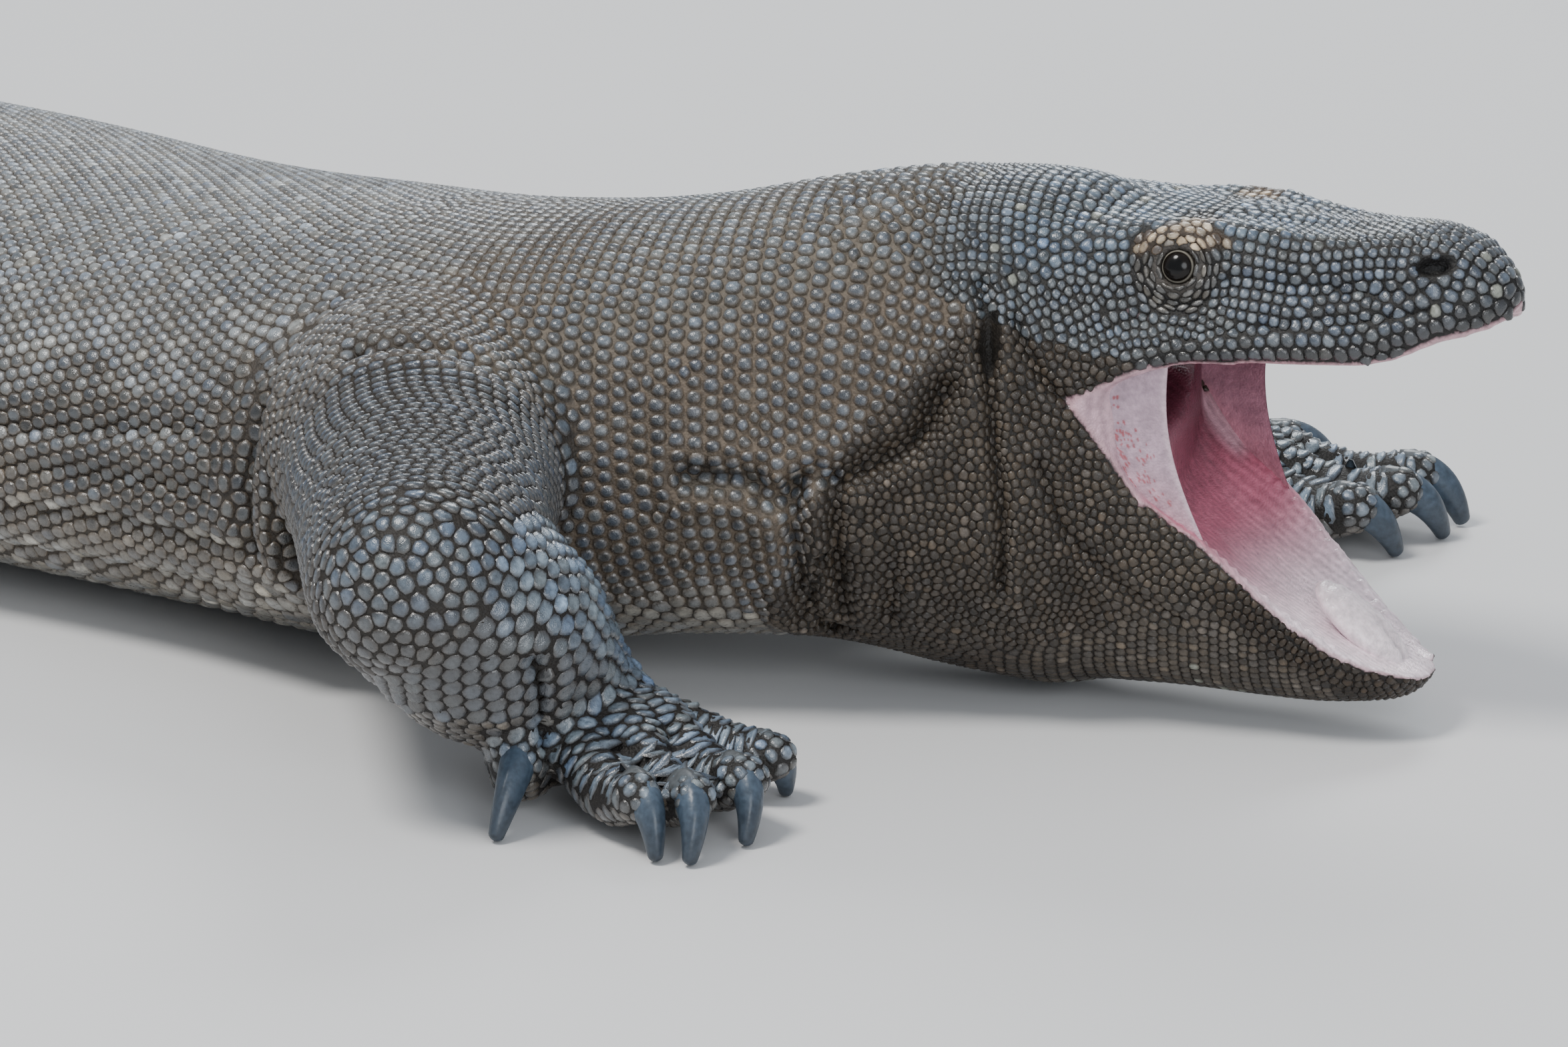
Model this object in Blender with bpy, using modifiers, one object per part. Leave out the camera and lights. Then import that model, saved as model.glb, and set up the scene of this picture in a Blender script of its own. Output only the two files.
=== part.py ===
"""A Komodo dragon, life size: it lies on its belly with its head raised and its mouth open.

Everything is laid out in a working frame that stands on the ground under the shoulders, with +X to the
front of the trunk and +Y to the animal's left. The last step moves the whole animal so that the origin
is the middle of its footprint. Flesh is lofted in pieces, fused into three kinds of skin (head, body,
feet) and then parted with thin cuts where a person would name the parts.
"""

import math

import bmesh
import bpy
import numpy as np
from mathutils import Matrix, Vector

# Clearances and resolution, in metres.
GAP = 0.0005  # width of the cuts between neighbouring parts
FIT = 0.00035  # room round an eye, a claw or the tongue in its seat
CHEEK_ROOM, CLAW_ROOM = 0.0010, 0.0007  # how far a corner of a cheek's or a claw's seat stands off it
HEAD_VOXEL, BODY_VOXEL, FOOT_VOXEL = 0.0024, 0.0050, 0.0024
HEAD_TRIANGLES, BODY_TRIANGLES, FOOT_TRIANGLES = 1300, 1520, 216

# The spine from tail tip to nape: x, y, half width, underside, top.
SPINE = (
    (-1.900, 0.205, 0.0035, 0.001, 0.009),
    (-1.860, 0.180, 0.0060, -0.002, 0.014),
    (-1.700, 0.088, 0.0110, -0.003, 0.028),
    (-1.450, -0.010, 0.0180, -0.003, 0.048),
    (-1.200, -0.052, 0.0270, -0.003, 0.070),
    (-0.980, -0.042, 0.0390, -0.003, 0.093),
    (-0.800, -0.008, 0.0560, -0.003, 0.114),
    (-0.680, 0.018, 0.0790, -0.003, 0.131),
    (-0.580, 0.036, 0.1100, -0.003, 0.142),
    (-0.460, 0.045, 0.1420, -0.004, 0.147),
    (-0.340, 0.042, 0.1560, -0.005, 0.148),
    (-0.220, 0.030, 0.1460, -0.005, 0.151),
    (-0.110, 0.014, 0.1290, -0.004, 0.164),
    (-0.020, 0.006, 0.1260, 0.000, 0.173),
    (0.060, 0.022, 0.0980, 0.015, 0.184),
    (0.120, 0.044, 0.0840, 0.016, 0.199),
    (0.170, 0.064, 0.0770, 0.006, 0.207),
    (0.215, 0.080, 0.0660, 0.006, 0.206),
    (0.242, 0.090, 0.0460, 0.060, 0.190),
)
WIDEST = 0.44  # height of the widest line of a section, as a share of its height
SPINE_SIDES = 40

# The head turns about the line through the two corners of the mouth.
HINGE = Vector((0.2257, 0.0848, 0.129))
HEAD_YAW, HEAD_ROLL = math.radians(10), math.radians(-4)
SNOUT_PITCH, JAW_PITCH = math.radians(12), math.radians(-38)

# Upper head, from the nape to the snout, in the frame of the palate: x, then the half outline as
# (half width, height) at the crown, the brow or canthus, the side, the lip's bulge, the lip's edge,
# the gum and the middle of the palate. Millimetres.
UPPER_HEAD = (
    (-62, (0, 85), (36, 79), (64, 40), (62, 10), (52, -14), (30, -24), (0, -28)),
    (-40, (0, 82), (41, 73), (66, 38), (66, 8), (58, -12), (34, -20), (0, -22)),
    (-18, (0, 77), (43, 69), (65, 34), (66, 5), (60, -8), (40, -8), (0, -6)),
    (2, (0, 73), (43, 66), (60, 31), (63.5, 9), (61, 1), (50, 2), (0, 6)),
    (22, (0, 68), (43, 63), (52, 33), (59.5, 14), (58, 6.5), (50, 6), (0, 18)),
    (45, (0, 63), (43, 60.5), (45, 33), (54.5, 17), (53, 9.5), (46, 9), (0, 25)),
    (70, (0, 59.5), (35.5, 54.5), (43, 31), (49.5, 15), (48, 7), (41, 6), (0, 23)),
    (95, (0, 53), (28, 48.5), (37, 27), (43.5, 11), (42, 3.5), (35, 2), (0, 19)),
    (120, (0, 49.5), (22.5, 45), (32.5, 25), (37.5, 11), (36, 2.5), (29, -1), (0, 15)),
    (140, (0, 46.5), (18.5, 42), (27.5, 26), (30.5, 14), (29, 7), (22, 3), (0, 15)),
    (155, (0, 38.5), (12.5, 35), (19, 25), (21.5, 17), (20, 10), (14, 4), (0, 13)),
    (164, (0, 29), (6.5, 27), (10, 22), (11.5, 18), (11, 12), (8, 6.5), (0, 11)),
    (168.5, (0, 21), (1.5, 20.5), (2.5, 19), (3, 17.5), (2.5, 16), (1.5, 14), (0, 14)),
)

# Lower jaw with the throat under it, in the frame of the jaw: x, then (half width, height) at the middle
# of the mouth's floor, the floor's side, the inner edge of the lip, the lip, its bulge, the side of the
# jaw, the side of the throat and the keel.
LOWER_JAW = (
    (-30, (0, -4), (30, -2), (50, 6), (60, 4), (65, -12), (68, -60), (48, -118), (0, -150)),
    (0, (0, -14), (30, -11), (54, -3), (61.5, -1), (64.5, -12), (66, -55), (46, -116), (0, -149)),
    (20, (0, -24), (30, -20), (51, -9), (59, -7), (62, -16), (63, -52), (43, -110), (0, -138)),
    (42, (0, -28), (30, -24), (48, -14), (56.5, -12), (59.5, -21), (59, -50), (39, -101), (0, -124)),
    (70, (0, -26), (28, -23), (43.5, -13), (51.5, -10.5), (54, -19), (52, -45), (33, -86), (0, -103)),
    (95, (0, -24), (24, -21), (38, -14.5), (47, -12), (48.5, -19), (44, -40), (26, -69), (0, -82)),
    (120, (0, -19), (18, -17.5), (30, -15), (40.5, -13.2), (42, -19), (36, -36), (20, -54), (0, -62)),
    (140, (0, -14), (12, -13), (21, -13), (32, -11.5), (33.5, -17), (27, -30), (14, -41), (0, -45)),
    (154, (0, -9), (7, -9), (13, -10), (23, -8), (24, -13), (18, -23), (9, -29), (0, -31)),
    (162, (0, -6), (4, -6), (7, -6.5), (14, -5), (15, -9), (10.5, -16), (5, -21), (0, -22)),
    (166, (0, -6), (1.2, -6), (2, -6), (3, -6), (3.2, -8), (2.6, -11), (1.4, -13), (0, -13.5)),
)

# Mouth, in millimetres of the two frames above.
CHEEK_THICKNESS, CHEEK_INSET, CHEEK_ROOT = 3.6, 5.5, 3.5  # how far it lies in from the lips, and into them
CHEEK_REAR = 0.06  # where the cheek begins, as a share of its length
CHEEK_COLUMNS, CHEEK_ROWS = 4, 5
UPPER_CHEEK, LOWER_CHEEK = 40, 76  # how far each jaw's lip carries the cheek's skin
CHEEK_HOLLOW = 9  # how far the free front edge of the cheek curves back
TONGUE_AT, TONGUE_HALF = (132, 0, -11), (24, 13.5, 6.5)
# The gullet, in the frame half-way between the jaws: x, half width, half height.
GULLET = ((34, 38, 20), (20, 37, 15), (4, 32, 13), (-18, 24, 11), (-40, 13, 8))
GULLET_SIDES = 20
JAW_CUT = (-95, 40, 110)  # from, to and half width of the cut that frees the lower jaw behind the mouth

# Eyes and nostrils, in millimetres of the palate's frame, for the left side.
EYE_AT, EYE_RADIUS = (45.6, 38.4, 44.5), 8.5
NOSTRIL_AT, NOSTRIL_HALF = (143.5, 27.5, 33.5), (7.8, 4.6, 4.2)
BROW_AT, BROW_HALF = (45, 35, 54), (22, 8, 7)
EAR_AT, EAR_HALF = (-24, 66, 27), (2.6, 8.0, 18.0)

# Legs, for the left side unless a name says otherwise: joint, then radii across and along the leg's
# bend. The forelegs differ in how far they reach out.
SHOULDER_HEIGHT, HIP_HEIGHT = 0.104, 0.095
FORELEGS = {
    "right": {
        "shoulder": (0.000, -0.075),
        "elbow": (0.0935, -0.2006, 0.094),
        "wrist": (0.114, -0.134, 0.034),
        "turn": 0,
        "cut": (0.45, 0.25, -0.86),
    },
    "left": {
        "shoulder": (0.000, 0.082),
        "elbow": (0.046, 0.238, 0.071),
        "wrist": (0.111, 0.285, 0.022),
        "turn": -12,
        "cut": (0.69, 0.50, -0.52),
    },
}
HINDLEGS = {
    "right": {
        "hip": (-0.610, -0.045),
        "knee": (-0.480, -0.215, 0.098),
        "ankle": (-0.600, -0.262, 0.040),
        "turn": -24,
        "cut": (-0.14, -0.06, -0.98),
    },
    "left": {
        "hip": (-0.605, 0.125),
        "knee": (-0.610, 0.318, 0.096),
        "ankle": (-0.728, 0.338, 0.040),
        "turn": 20,
        "cut": (-0.14, 0.06, -0.98),
    },
}
UPPER_ARM_RADII = (0.062, 0.052, 0.046)
FOREARM_RADII = (0.046, 0.047, 0.030)
THIGH_RADII = (0.080, 0.066, 0.049)
SHANK_RADII = (0.048, 0.046, 0.030)

# Digits of a left hand and a left foot, each as knuckle, root of the claw and tip of the claw, from the
# wrist or ankle: ahead, outward, and height over the ground.
FINGERS = (
    ((0.042, -0.014, 0.022), (0.076, -0.022, 0.018), (0.078, -0.031, 0.0)),
    ((0.048, 0.003, 0.026), (0.089, 0.015, 0.021), (0.101, 0.028, 0.0)),
    ((0.043, 0.019, 0.027), (0.086, 0.044, 0.021), (0.097, 0.059, 0.0)),
    ((0.029, 0.030, 0.027), (0.070, 0.053, 0.021), (0.084, 0.063, 0.0)),
    ((-0.004, 0.024, 0.028), (0.0125, 0.0510, 0.0240), (0.0205, 0.0775, 0.0)),
)
FAR_FOURTH_FINGER = ((0.031, 0.032, 0.026), (0.0746, 0.066, 0.021), (0.0886, 0.0783, 0.0))  # reaches out more
FINGER_RADII = (0.0170, 0.0150, 0.0122)

TOES = (
    ((0.052, -0.024, 0.022), (0.088, -0.042, 0.019), (0.098, -0.049, 0.0)),
    ((0.062, -0.011, 0.025), (0.112, -0.024, 0.020), (0.124, -0.029, 0.0)),
    ((0.064, 0.003, 0.025), (0.126, -0.001, 0.020), (0.139, -0.001, 0.0)),
    ((0.058, 0.017, 0.024), (0.126, 0.025, 0.020), (0.139, 0.030, 0.0)),
    ((0.020, 0.026, 0.022), (0.060, 0.052, 0.018), (0.071, 0.062, 0.0)),
)
TOE_RADII = (0.0155, 0.0135, 0.0110)
PALM_AT, PALM_HALF = (0.018, 0.008, 0.020), (0.030, 0.028, 0.020)
SOLE_AT, SOLE_HALF = (0.022, 0.0, 0.019), (0.036, 0.030, 0.020)
ARM_SQUASH, THIGH_SQUASH, SHANK_SQUASH, DIGIT_SQUASH, WEB_SQUASH = 0.95, 0.92, 0.95, 0.92, 0.85
WEB_RADII = (0.0240, 0.0185, 0.0135)  # the hand's flesh from the wrist to each knuckle
DIGIT_ENDS = (0.012, 0.001)  # how far a digit runs back of its knuckle and past its claw's root
CLAW_RADIUS, CLAW_TAPER, CLAW_SIDES, CLAW_RINGS = 0.0078, 0.64, 6, 3
SHOULDER_CUT, ELBOW_CUT, WRIST_CUT = 0.085, 0.108, 0.065  # reach of the cuts that part the legs
ARM_STARTS, THIGH_STARTS = 0.46, 0.60  # shares of the upper arm and the thigh that belong to the trunk
CUT_REACH, CUT_RIGHT, CUT_LEFT = 1.25, 0.014, 0.045  # share of the trunk, and more each side
NECK_BLOCK = 0.105  # half width of the block that ends the neck
SPINE_STEP = 0.02  # how far each side of a place the spine's direction is read
SMALLEST_BODY = 2e-6  # cubic metres: anything less is a chip left by a cut
HIP_CUT, KNEE_CUT, ANKLE_CUT = 0.090, 0.115, 0.100
END_RISE = 0.012  # the wrist's and the ankle's cuts lie this far over the joint
CLAW_CURVE, CLAW_SQUASH, CLAW_BLUNT = 1.6, 0.86, 0.45  # how late it tapers, width to depth, last ring
CLAW_TIP_RISE, CLAW_ROOT_RISE = 0.0024, 0.0010
CLAW_ARCH = (0.42, 0.003)  # where along its length it bends, and how high
CLAW_ROOT = 0.006  # length of a claw inside its digit
TOE_REST = 0.0165  # height of a finger's or toe's middle where it lies on the ground

# Where the body is parted: names from the tail's end forward, and the x of the cuts between them.
SPINE_PARTS = ("tail_tip", "tail_rear", "tail_middle", "tail_base", "pelvis", "belly", "chest", "neck")
SPINE_CUTS = (-1.58, -1.24, -0.95, -0.72, -0.44, -0.17, 0.075)
NECK_END = 0.155
NAPE_FROM = 0.10  # the head's own skin takes in the neck from here

HIDE = (0.060, 0.058, 0.056)
FLESH = (0.520, 0.200, 0.200)
TONGUE_PALE = (0.640, 0.520, 0.500)
HORN = (0.035, 0.042, 0.055)
EYE_DARK = (0.010, 0.008, 0.007)


# ---------------------------------------------------------------- collections, materials and meshes


def clear_scene():
    for item in list(bpy.data.objects):
        bpy.data.objects.remove(item, do_unlink=True)


def new_collection(name):
    made = bpy.data.collections.new(name)
    bpy.context.scene.collection.children.link(made)
    return made


def material(name, colour, roughness):
    made = bpy.data.materials.new(name)
    made.use_nodes = True
    shader = made.node_tree.nodes["Principled BSDF"]
    shader.inputs["Base Color"].default_value = (*colour, 1.0)
    shader.inputs["Roughness"].default_value = roughness
    shader.inputs["Metallic"].default_value = 0.0
    return made


def new_object(name, points, faces, collection):
    mesh = bpy.data.meshes.new(name)
    mesh.from_pydata([tuple(p) for p in points], [], faces)
    mesh.update()
    made = bpy.data.objects.new(name, mesh)
    collection.objects.link(made)
    return made


def apply_modifiers(thing):
    """Replaces an object's mesh with the one its modifiers make."""
    bpy.context.view_layer.update()
    graph = bpy.context.evaluated_depsgraph_get()
    mesh = bpy.data.meshes.new_from_object(thing.evaluated_get(graph))
    thing.modifiers.clear()
    thing.data = mesh


def joined(name, things):
    """One object that holds all the bodies of the given objects, which are removed."""
    mesh = bmesh.new()
    for thing in things:
        mesh.from_mesh(thing.data)
    made = bpy.data.meshes.new(name)
    mesh.to_mesh(made)
    mesh.free()
    for thing in things:
        bpy.data.objects.remove(thing, do_unlink=True)
    result = bpy.data.objects.new(name, made)
    parts.objects.link(result)
    return result


def cutter(name, points, faces):
    made = new_object(name, points, faces, cutters)
    made.hide_render = True
    made.display_type = "WIRE"
    return made


def subtract(thing, *tools):
    for tool in tools:
        cut = thing.modifiers.new(tool.name, "BOOLEAN")
        cut.operation = "DIFFERENCE"
        cut.solver = "EXACT"
        cut.object = tool
    apply_modifiers(thing)


def fuse(name, things, voxel, triangles, smoothing):
    """Fuses bodies into one skin of the given voxel size and thins it to a number of triangles."""
    skin = joined(name, things)
    remesh = skin.modifiers.new("Fuse", "REMESH")
    remesh.mode = "VOXEL"
    remesh.voxel_size = voxel
    smooth = skin.modifiers.new("Relax", "SMOOTH")
    smooth.factor = 0.5
    smooth.iterations = smoothing
    apply_modifiers(skin)
    thin = skin.modifiers.new("Thin", "DECIMATE")
    thin.ratio = triangles / (2 * len(skin.data.polygons))
    apply_modifiers(skin)
    return skin


# ------------------------------------------------------------------------------- lofted bodies


def smooth_rows(rows, steps):
    """The rows of a table with `steps` rows to each interval, along a Catmull-Rom curve through them."""
    rows = np.array(rows, float)
    ends = np.vstack([2 * rows[0] - rows[1], rows, 2 * rows[-1] - rows[-2]])
    found = []
    for i in range(len(rows) - 1):
        a, b, c, d = ends[i : i + 4]
        for t in np.arange(steps) / steps:
            bent = (2 * a - 5 * b + 4 * c - d) * t**2
            twisted = (3 * b - a - 3 * c + d) * t**3
            found.append(0.5 * (2 * b + (c - a) * t + bent + twisted))
    found.append(rows[-1])
    return np.array(found)


def loft_faces(rings, sides):
    faces = [tuple(range(sides - 1, -1, -1))]
    for i in range(rings - 1):
        for j in range(sides):
            k = (j + 1) % sides
            faces.append((i * sides + j, i * sides + k, (i + 1) * sides + k, (i + 1) * sides + j))
    faces.append(tuple(range((rings - 1) * sides, rings * sides)))
    return faces


def loft(name, rings, collection=None):
    """A closed body through rings of points, each turning left-handed as seen from its far end."""
    rings = [list(ring) for ring in rings]
    sides = len(rings[0])
    points = [p for ring in rings for p in ring]
    made = new_object(name, points, loft_faces(len(rings), sides), collection or parts)
    outward(made)
    return made


def outward(thing):
    mesh = bmesh.new()
    mesh.from_mesh(thing.data)
    bmesh.ops.recalc_face_normals(mesh, faces=mesh.faces)
    if mesh.calc_volume(signed=True) < 0:
        bmesh.ops.reverse_faces(mesh, faces=mesh.faces)
    mesh.to_mesh(thing.data)
    mesh.free()


def squared(value, power):
    return math.copysign(abs(value) ** power, value)


def spine_ring(row, ahead):
    """A section of the trunk: rounded above, flatter and fuller below its widest line."""
    x, y, half, bottom, top = row
    side = Vector((-ahead.y, ahead.x, 0)).normalized()
    middle = bottom + WIDEST * (top - bottom)
    points = []
    for k in range(SPINE_SIDES):
        angle = 2 * math.pi * k / SPINE_SIDES
        c, s = math.cos(angle), math.sin(angle)
        power = 0.95
        reach = (top - middle) if s > 0 else (middle - bottom)
        across = side * (half * squared(c, power))
        points.append(Vector((x, y, middle + reach * squared(s, power))) + across)
    return points


def spine_body(name, first_x=-9.0):
    rows = smooth_rows(SPINE, 4)
    last = len(rows) - 1
    ahead = [Vector((*(rows[min(i + 1, last)] - rows[max(i - 1, 0)])[:2], 0)) for i in range(last + 1)]
    return loft(name, [spine_ring(row, to) for row, to in zip(rows, ahead) if row[0] > first_x])


def spine_point(x):
    rows = smooth_rows(SPINE, 4)
    return [float(np.interp(x, rows[:, 0], rows[:, k])) for k in range(5)]


def head_frame(pitch):
    turn = Matrix.Rotation(HEAD_YAW, 4, "Z") @ Matrix.Rotation(-pitch, 4, "Y")
    turn = turn @ Matrix.Rotation(HEAD_ROLL, 4, "X")
    return Matrix.Translation(HINGE) @ turn @ Matrix.Scale(0.001, 4)


def jaw_loft(name, stations, frame):
    """A body through mirrored half outlines, given in millimetres of a frame."""
    flat = [[x, *(number for point in outline for number in point)] for x, *outline in stations]
    rings = []
    for row in smooth_rows(flat, 3):
        half = smooth_rows(row[1:].reshape(-1, 2), 2)
        half[0, 0] = half[-1, 0] = 0
        ring = [(row[0], y, z) for y, z in half] + [(row[0], -y, z) for y, z in half[-2:0:-1]]
        rings.append([frame @ Vector(p) for p in ring])
    return loft(name, rings)


def tube(name, centres, radii, squash=1.0, sides=16, steps=4, collection=None):
    """A limb through joints: round sections, squashed in height by a factor, with rounded ends."""
    rows = smooth_rows([[*c, r] for c, r in zip(centres, radii)], steps)
    first, last = Vector(rows[0][:3]), Vector(rows[-1][:3])
    start = (first - Vector(rows[1][:3])).normalized()
    stop = (last - Vector(rows[-2][:3])).normalized()
    caps = [(0.85, 0.55), (0.5, 0.88)]
    head, tail = float(rows[0][3]), float(rows[-1][3])
    path = [(first + start * head * far, head * near) for far, near in caps]
    path += [(Vector(row[:3]), float(row[3])) for row in rows]
    path += [(last + stop * tail * far, tail * near) for far, near in reversed(caps)]
    rings = []
    for i, (centre, radius) in enumerate(path):
        along = (path[min(i + 1, len(path) - 1)][0] - path[max(i - 1, 0)][0]).normalized()
        side = along.cross(Vector((0, 0, 1)))
        side = side.normalized() if side.length > 0.05 else Vector((1, 0, 0))
        up = side.cross(along)
        turns = [2 * math.pi * k / sides for k in range(sides)]
        rings.append([centre + radius * (math.cos(a) * side + squash * math.sin(a) * up) for a in turns])
    return loft(name, rings, collection)


def ball(name, frame, centre, half, collection, rings=8):
    mesh = bpy.data.meshes.new(name)
    shape = bmesh.new()
    place = frame @ Matrix.Translation(centre) @ Matrix.Diagonal((*half, 1))
    bmesh.ops.create_uvsphere(shape, u_segments=2 * rings, v_segments=rings, radius=1, matrix=place)
    shape.to_mesh(mesh)
    shape.free()
    made = bpy.data.objects.new(name, mesh)
    collection.objects.link(made)
    outward(made)
    if collection is cutters:
        made.hide_render = True
        made.display_type = "WIRE"
    return made


def box(name, frame, low, high):
    corners = [(x, y, z) for x in (low[0], high[0]) for y in (low[1], high[1]) for z in (low[2], high[2])]
    faces = [(0, 1, 3, 2), (4, 6, 7, 5), (0, 4, 5, 1), (2, 3, 7, 6), (0, 2, 6, 4), (1, 5, 7, 3)]
    made = cutter(name, [frame @ Vector(c) for c in corners], faces)
    outward(made)
    return made


def facing(centre, direction):
    """A frame at a point whose +Z runs in a direction."""
    turn = Vector((0, 0, 1)).rotation_difference(Vector(direction)).to_matrix().to_4x4()
    return Matrix.Translation(centre) @ turn


def disc(name, centre, direction, radius):
    """A round cut as thin as the gap between parts."""
    mesh = bpy.data.meshes.new(name)
    shape = bmesh.new()
    bmesh.ops.create_cone(
        shape,
        cap_ends=True,
        segments=24,
        radius1=radius,
        radius2=radius,
        depth=GAP,
        matrix=facing(centre, direction),
    )
    shape.to_mesh(mesh)
    shape.free()
    made = bpy.data.objects.new(name, mesh)
    cutters.objects.link(made)
    made.hide_render = True
    made.display_type = "WIRE"
    outward(made)
    return made


# ---------------------------------------------------------------------------------- the head


def cheek(name, side):
    """The skin stretched between the jaws: a sheet from the mouth's corner to a hollow front edge."""
    upper, lower = head_frame(SNOUT_PITCH), head_frame(JAW_PITCH)
    upper_rows = smooth_rows([[x, *outline[4]] for x, *outline in UPPER_HEAD[3:7]], 6)
    lower_rows = smooth_rows([[x, *outline[3]] for x, *outline in LOWER_JAW[1:6]], 6)
    front = upper.to_3x3() @ Vector((1, 0, 0)) + lower.to_3x3() @ Vector((1, 0, 0))
    grid = []
    for i in range(CHEEK_COLUMNS + 1):
        share = CHEEK_REAR + (1 - CHEEK_REAR) * i / CHEEK_COLUMNS
        xu, xl = UPPER_CHEEK * share, LOWER_CHEEK * share
        top = [np.interp(xu, upper_rows[:, 0], upper_rows[:, k]) for k in (1, 2)]
        low = [np.interp(xl, lower_rows[:, 0], lower_rows[:, k]) for k in (1, 2)]
        a = upper @ Vector((xu, side * (top[0] - CHEEK_INSET), top[1] + CHEEK_ROOT))
        b = lower @ Vector((xl, side * (low[0] - CHEEK_INSET), low[1] - CHEEK_ROOT))
        for j in range(CHEEK_ROWS + 1):
            t = j / CHEEK_ROWS
            hollow = CHEEK_HOLLOW * share * math.sin(math.pi * t) / 2
            grid.append(a.lerp(b, t) - front * hollow)
    across = head_frame(0).to_3x3() @ Vector((0, CHEEK_THICKNESS / 2, 0))
    count = len(grid)
    points = [p + across for p in grid] + [p - across for p in grid]
    wide = CHEEK_ROWS + 1
    faces = []
    for i in range(CHEEK_COLUMNS):
        for j in range(CHEEK_ROWS):
            a, b, c, d = i * wide + j, i * wide + j + 1, (i + 1) * wide + j + 1, (i + 1) * wide + j
            faces += [(a, b, c), (a, c, d)]
            faces += [(count + c, count + b, count + a), (count + d, count + c, count + a)]
    rim = [i * wide for i in range(CHEEK_COLUMNS + 1)] + [CHEEK_COLUMNS * wide + j for j in range(1, wide)]
    rim += [i * wide + CHEEK_ROWS for i in range(CHEEK_COLUMNS - 1, -1, -1)]
    rim += list(range(CHEEK_ROWS - 1, 0, -1))
    for a, b in zip(rim, rim[1:] + rim[:1]):
        faces.append((a, count + a, count + b, b))
    made = new_object(name, points, faces, parts)
    outward(made)
    return made


def seat_for(thing, room):
    """A cutter of a part's own shape, grown by a little room."""
    shape = bmesh.new()
    shape.from_mesh(thing.data)
    shape.normal_update()
    moved = [v.co + v.normal * room for v in shape.verts]
    faces = [tuple(v.index for v in face.verts) for face in shape.faces]
    shape.free()
    return cutter(thing.name + "_seat", moved, faces)


def throat_cutter():
    """The gullet: a pocket that runs back from the mouth between the jaw joints."""
    frame = head_frame((SNOUT_PITCH + JAW_PITCH) / 2)
    turns = [2 * math.pi * k / GULLET_SIDES for k in range(GULLET_SIDES)]
    rings = []
    for x, wide, tall in GULLET:
        rings.append([frame @ Vector((x, wide * math.cos(a), tall * math.sin(a))) for a in turns])
    made = loft("throat_cut", rings, cutters)
    made.hide_render = True
    made.display_type = "WIRE"
    return made


def make_head():
    upper, lower = head_frame(SNOUT_PITCH), head_frame(JAW_PITCH)
    pieces = [
        jaw_loft("upper", UPPER_HEAD, upper),
        jaw_loft("lower", LOWER_JAW, lower),
        spine_body("nape", first_x=NAPE_FROM),
    ]
    for side in (-1, 1):
        pieces.append(ball("brow", upper, mirrored(BROW_AT, side), BROW_HALF, parts))
    head = fuse("head_skin", pieces, HEAD_VOXEL, HEAD_TRIANGLES, 3)
    tools = [throat_cutter()]
    room = 1000 * FIT
    for side, label in ((-1, "right"), (1, "left")):
        eye_at = mirrored(EYE_AT, side)
        tools.append(ball("eye_seat_" + label, upper, eye_at, [EYE_RADIUS + room] * 3, cutters, rings=6))
        nostril_at = mirrored(NOSTRIL_AT, side)
        tools.append(ball("nostril_" + label, upper, nostril_at, NOSTRIL_HALF, cutters, rings=5))
        tools.append(ball("ear_" + label, upper, mirrored(EAR_AT, side), EAR_HALF, cutters, rings=5))
        finish(ball("eye_" + label, upper, eye_at, [EYE_RADIUS] * 3, parts, rings=6), EYE_DARK, 0.08)
        sheet = cheek("cheek_" + label, side)
        tools.append(seat_for(sheet, CHEEK_ROOM))
        finish(sheet, FLESH, 0.5)
    grown = [half + room for half in TONGUE_HALF]
    tools.append(ball("tongue_seat", lower, TONGUE_AT, grown, cutters, rings=6))
    finish(ball("tongue", lower, TONGUE_AT, TONGUE_HALF, parts, rings=6), TONGUE_PALE, 0.4)
    middle = head_frame((SNOUT_PITCH + JAW_PITCH) / 2)
    half = 500 * GAP
    tools.append(box("jaw_cut", middle, (JAW_CUT[0], -JAW_CUT[2], -half), (JAW_CUT[1], JAW_CUT[2], half)))
    subtract(head, *tools)
    return head


def mirrored(point, side):
    return (point[0], side * point[1], point[2])


# ------------------------------------------------------------------------------ legs and feet


def halfway(a, b, share=0.5):
    return Vector(a).lerp(Vector(b), share)


def arm_joints(side):
    leg = FORELEGS[side]
    return Vector((*leg["shoulder"], SHOULDER_HEIGHT)), Vector(leg["elbow"]), Vector(leg["wrist"])


def leg_joints(side):
    leg = HINDLEGS[side]
    return Vector((*leg["hip"], HIP_HEIGHT)), Vector(leg["knee"]), Vector(leg["ankle"])


def foreleg(side):
    shoulder, elbow, wrist = arm_joints(side)
    upper = tube("upper", (shoulder, halfway(shoulder, elbow), elbow), UPPER_ARM_RADII, ARM_SQUASH)
    lower = tube("lower", (elbow, halfway(elbow, wrist), wrist), FOREARM_RADII, ARM_SQUASH)
    return upper, lower


def hindleg(side):
    hip, knee, ankle = leg_joints(side)
    upper = tube("upper", (hip, halfway(hip, knee), knee), THIGH_RADII, THIGH_SQUASH)
    lower = tube("lower", (knee, halfway(knee, ankle), ankle), SHANK_RADII, SHANK_SQUASH)
    return upper, lower


def digit_points(side, leg, end, table):
    """The knuckles, claw roots and claw tips of one hand or foot."""
    flip = 1 if side == "left" else -1
    start = Vector((*leg[end][:2], 0))
    turn = Matrix.Rotation(math.radians(leg["turn"]), 3, "Z")
    return [[start + turn @ Vector(mirrored(p, flip)) for p in points] for points in table]


def digit(points, radii):
    """A finger or toe: it rises from its knuckle to the next joint and comes down to the claw."""
    knuckle, root, _ = points
    ahead = (root - knuckle).normalized()
    bend = halfway(knuckle, root)
    bend.z = TOE_REST
    end = root + ahead * DIGIT_ENDS[1]
    start = knuckle - ahead * DIGIT_ENDS[0]
    return tube("digit", (start, bend, end), radii, DIGIT_SQUASH, sides=12)


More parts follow.
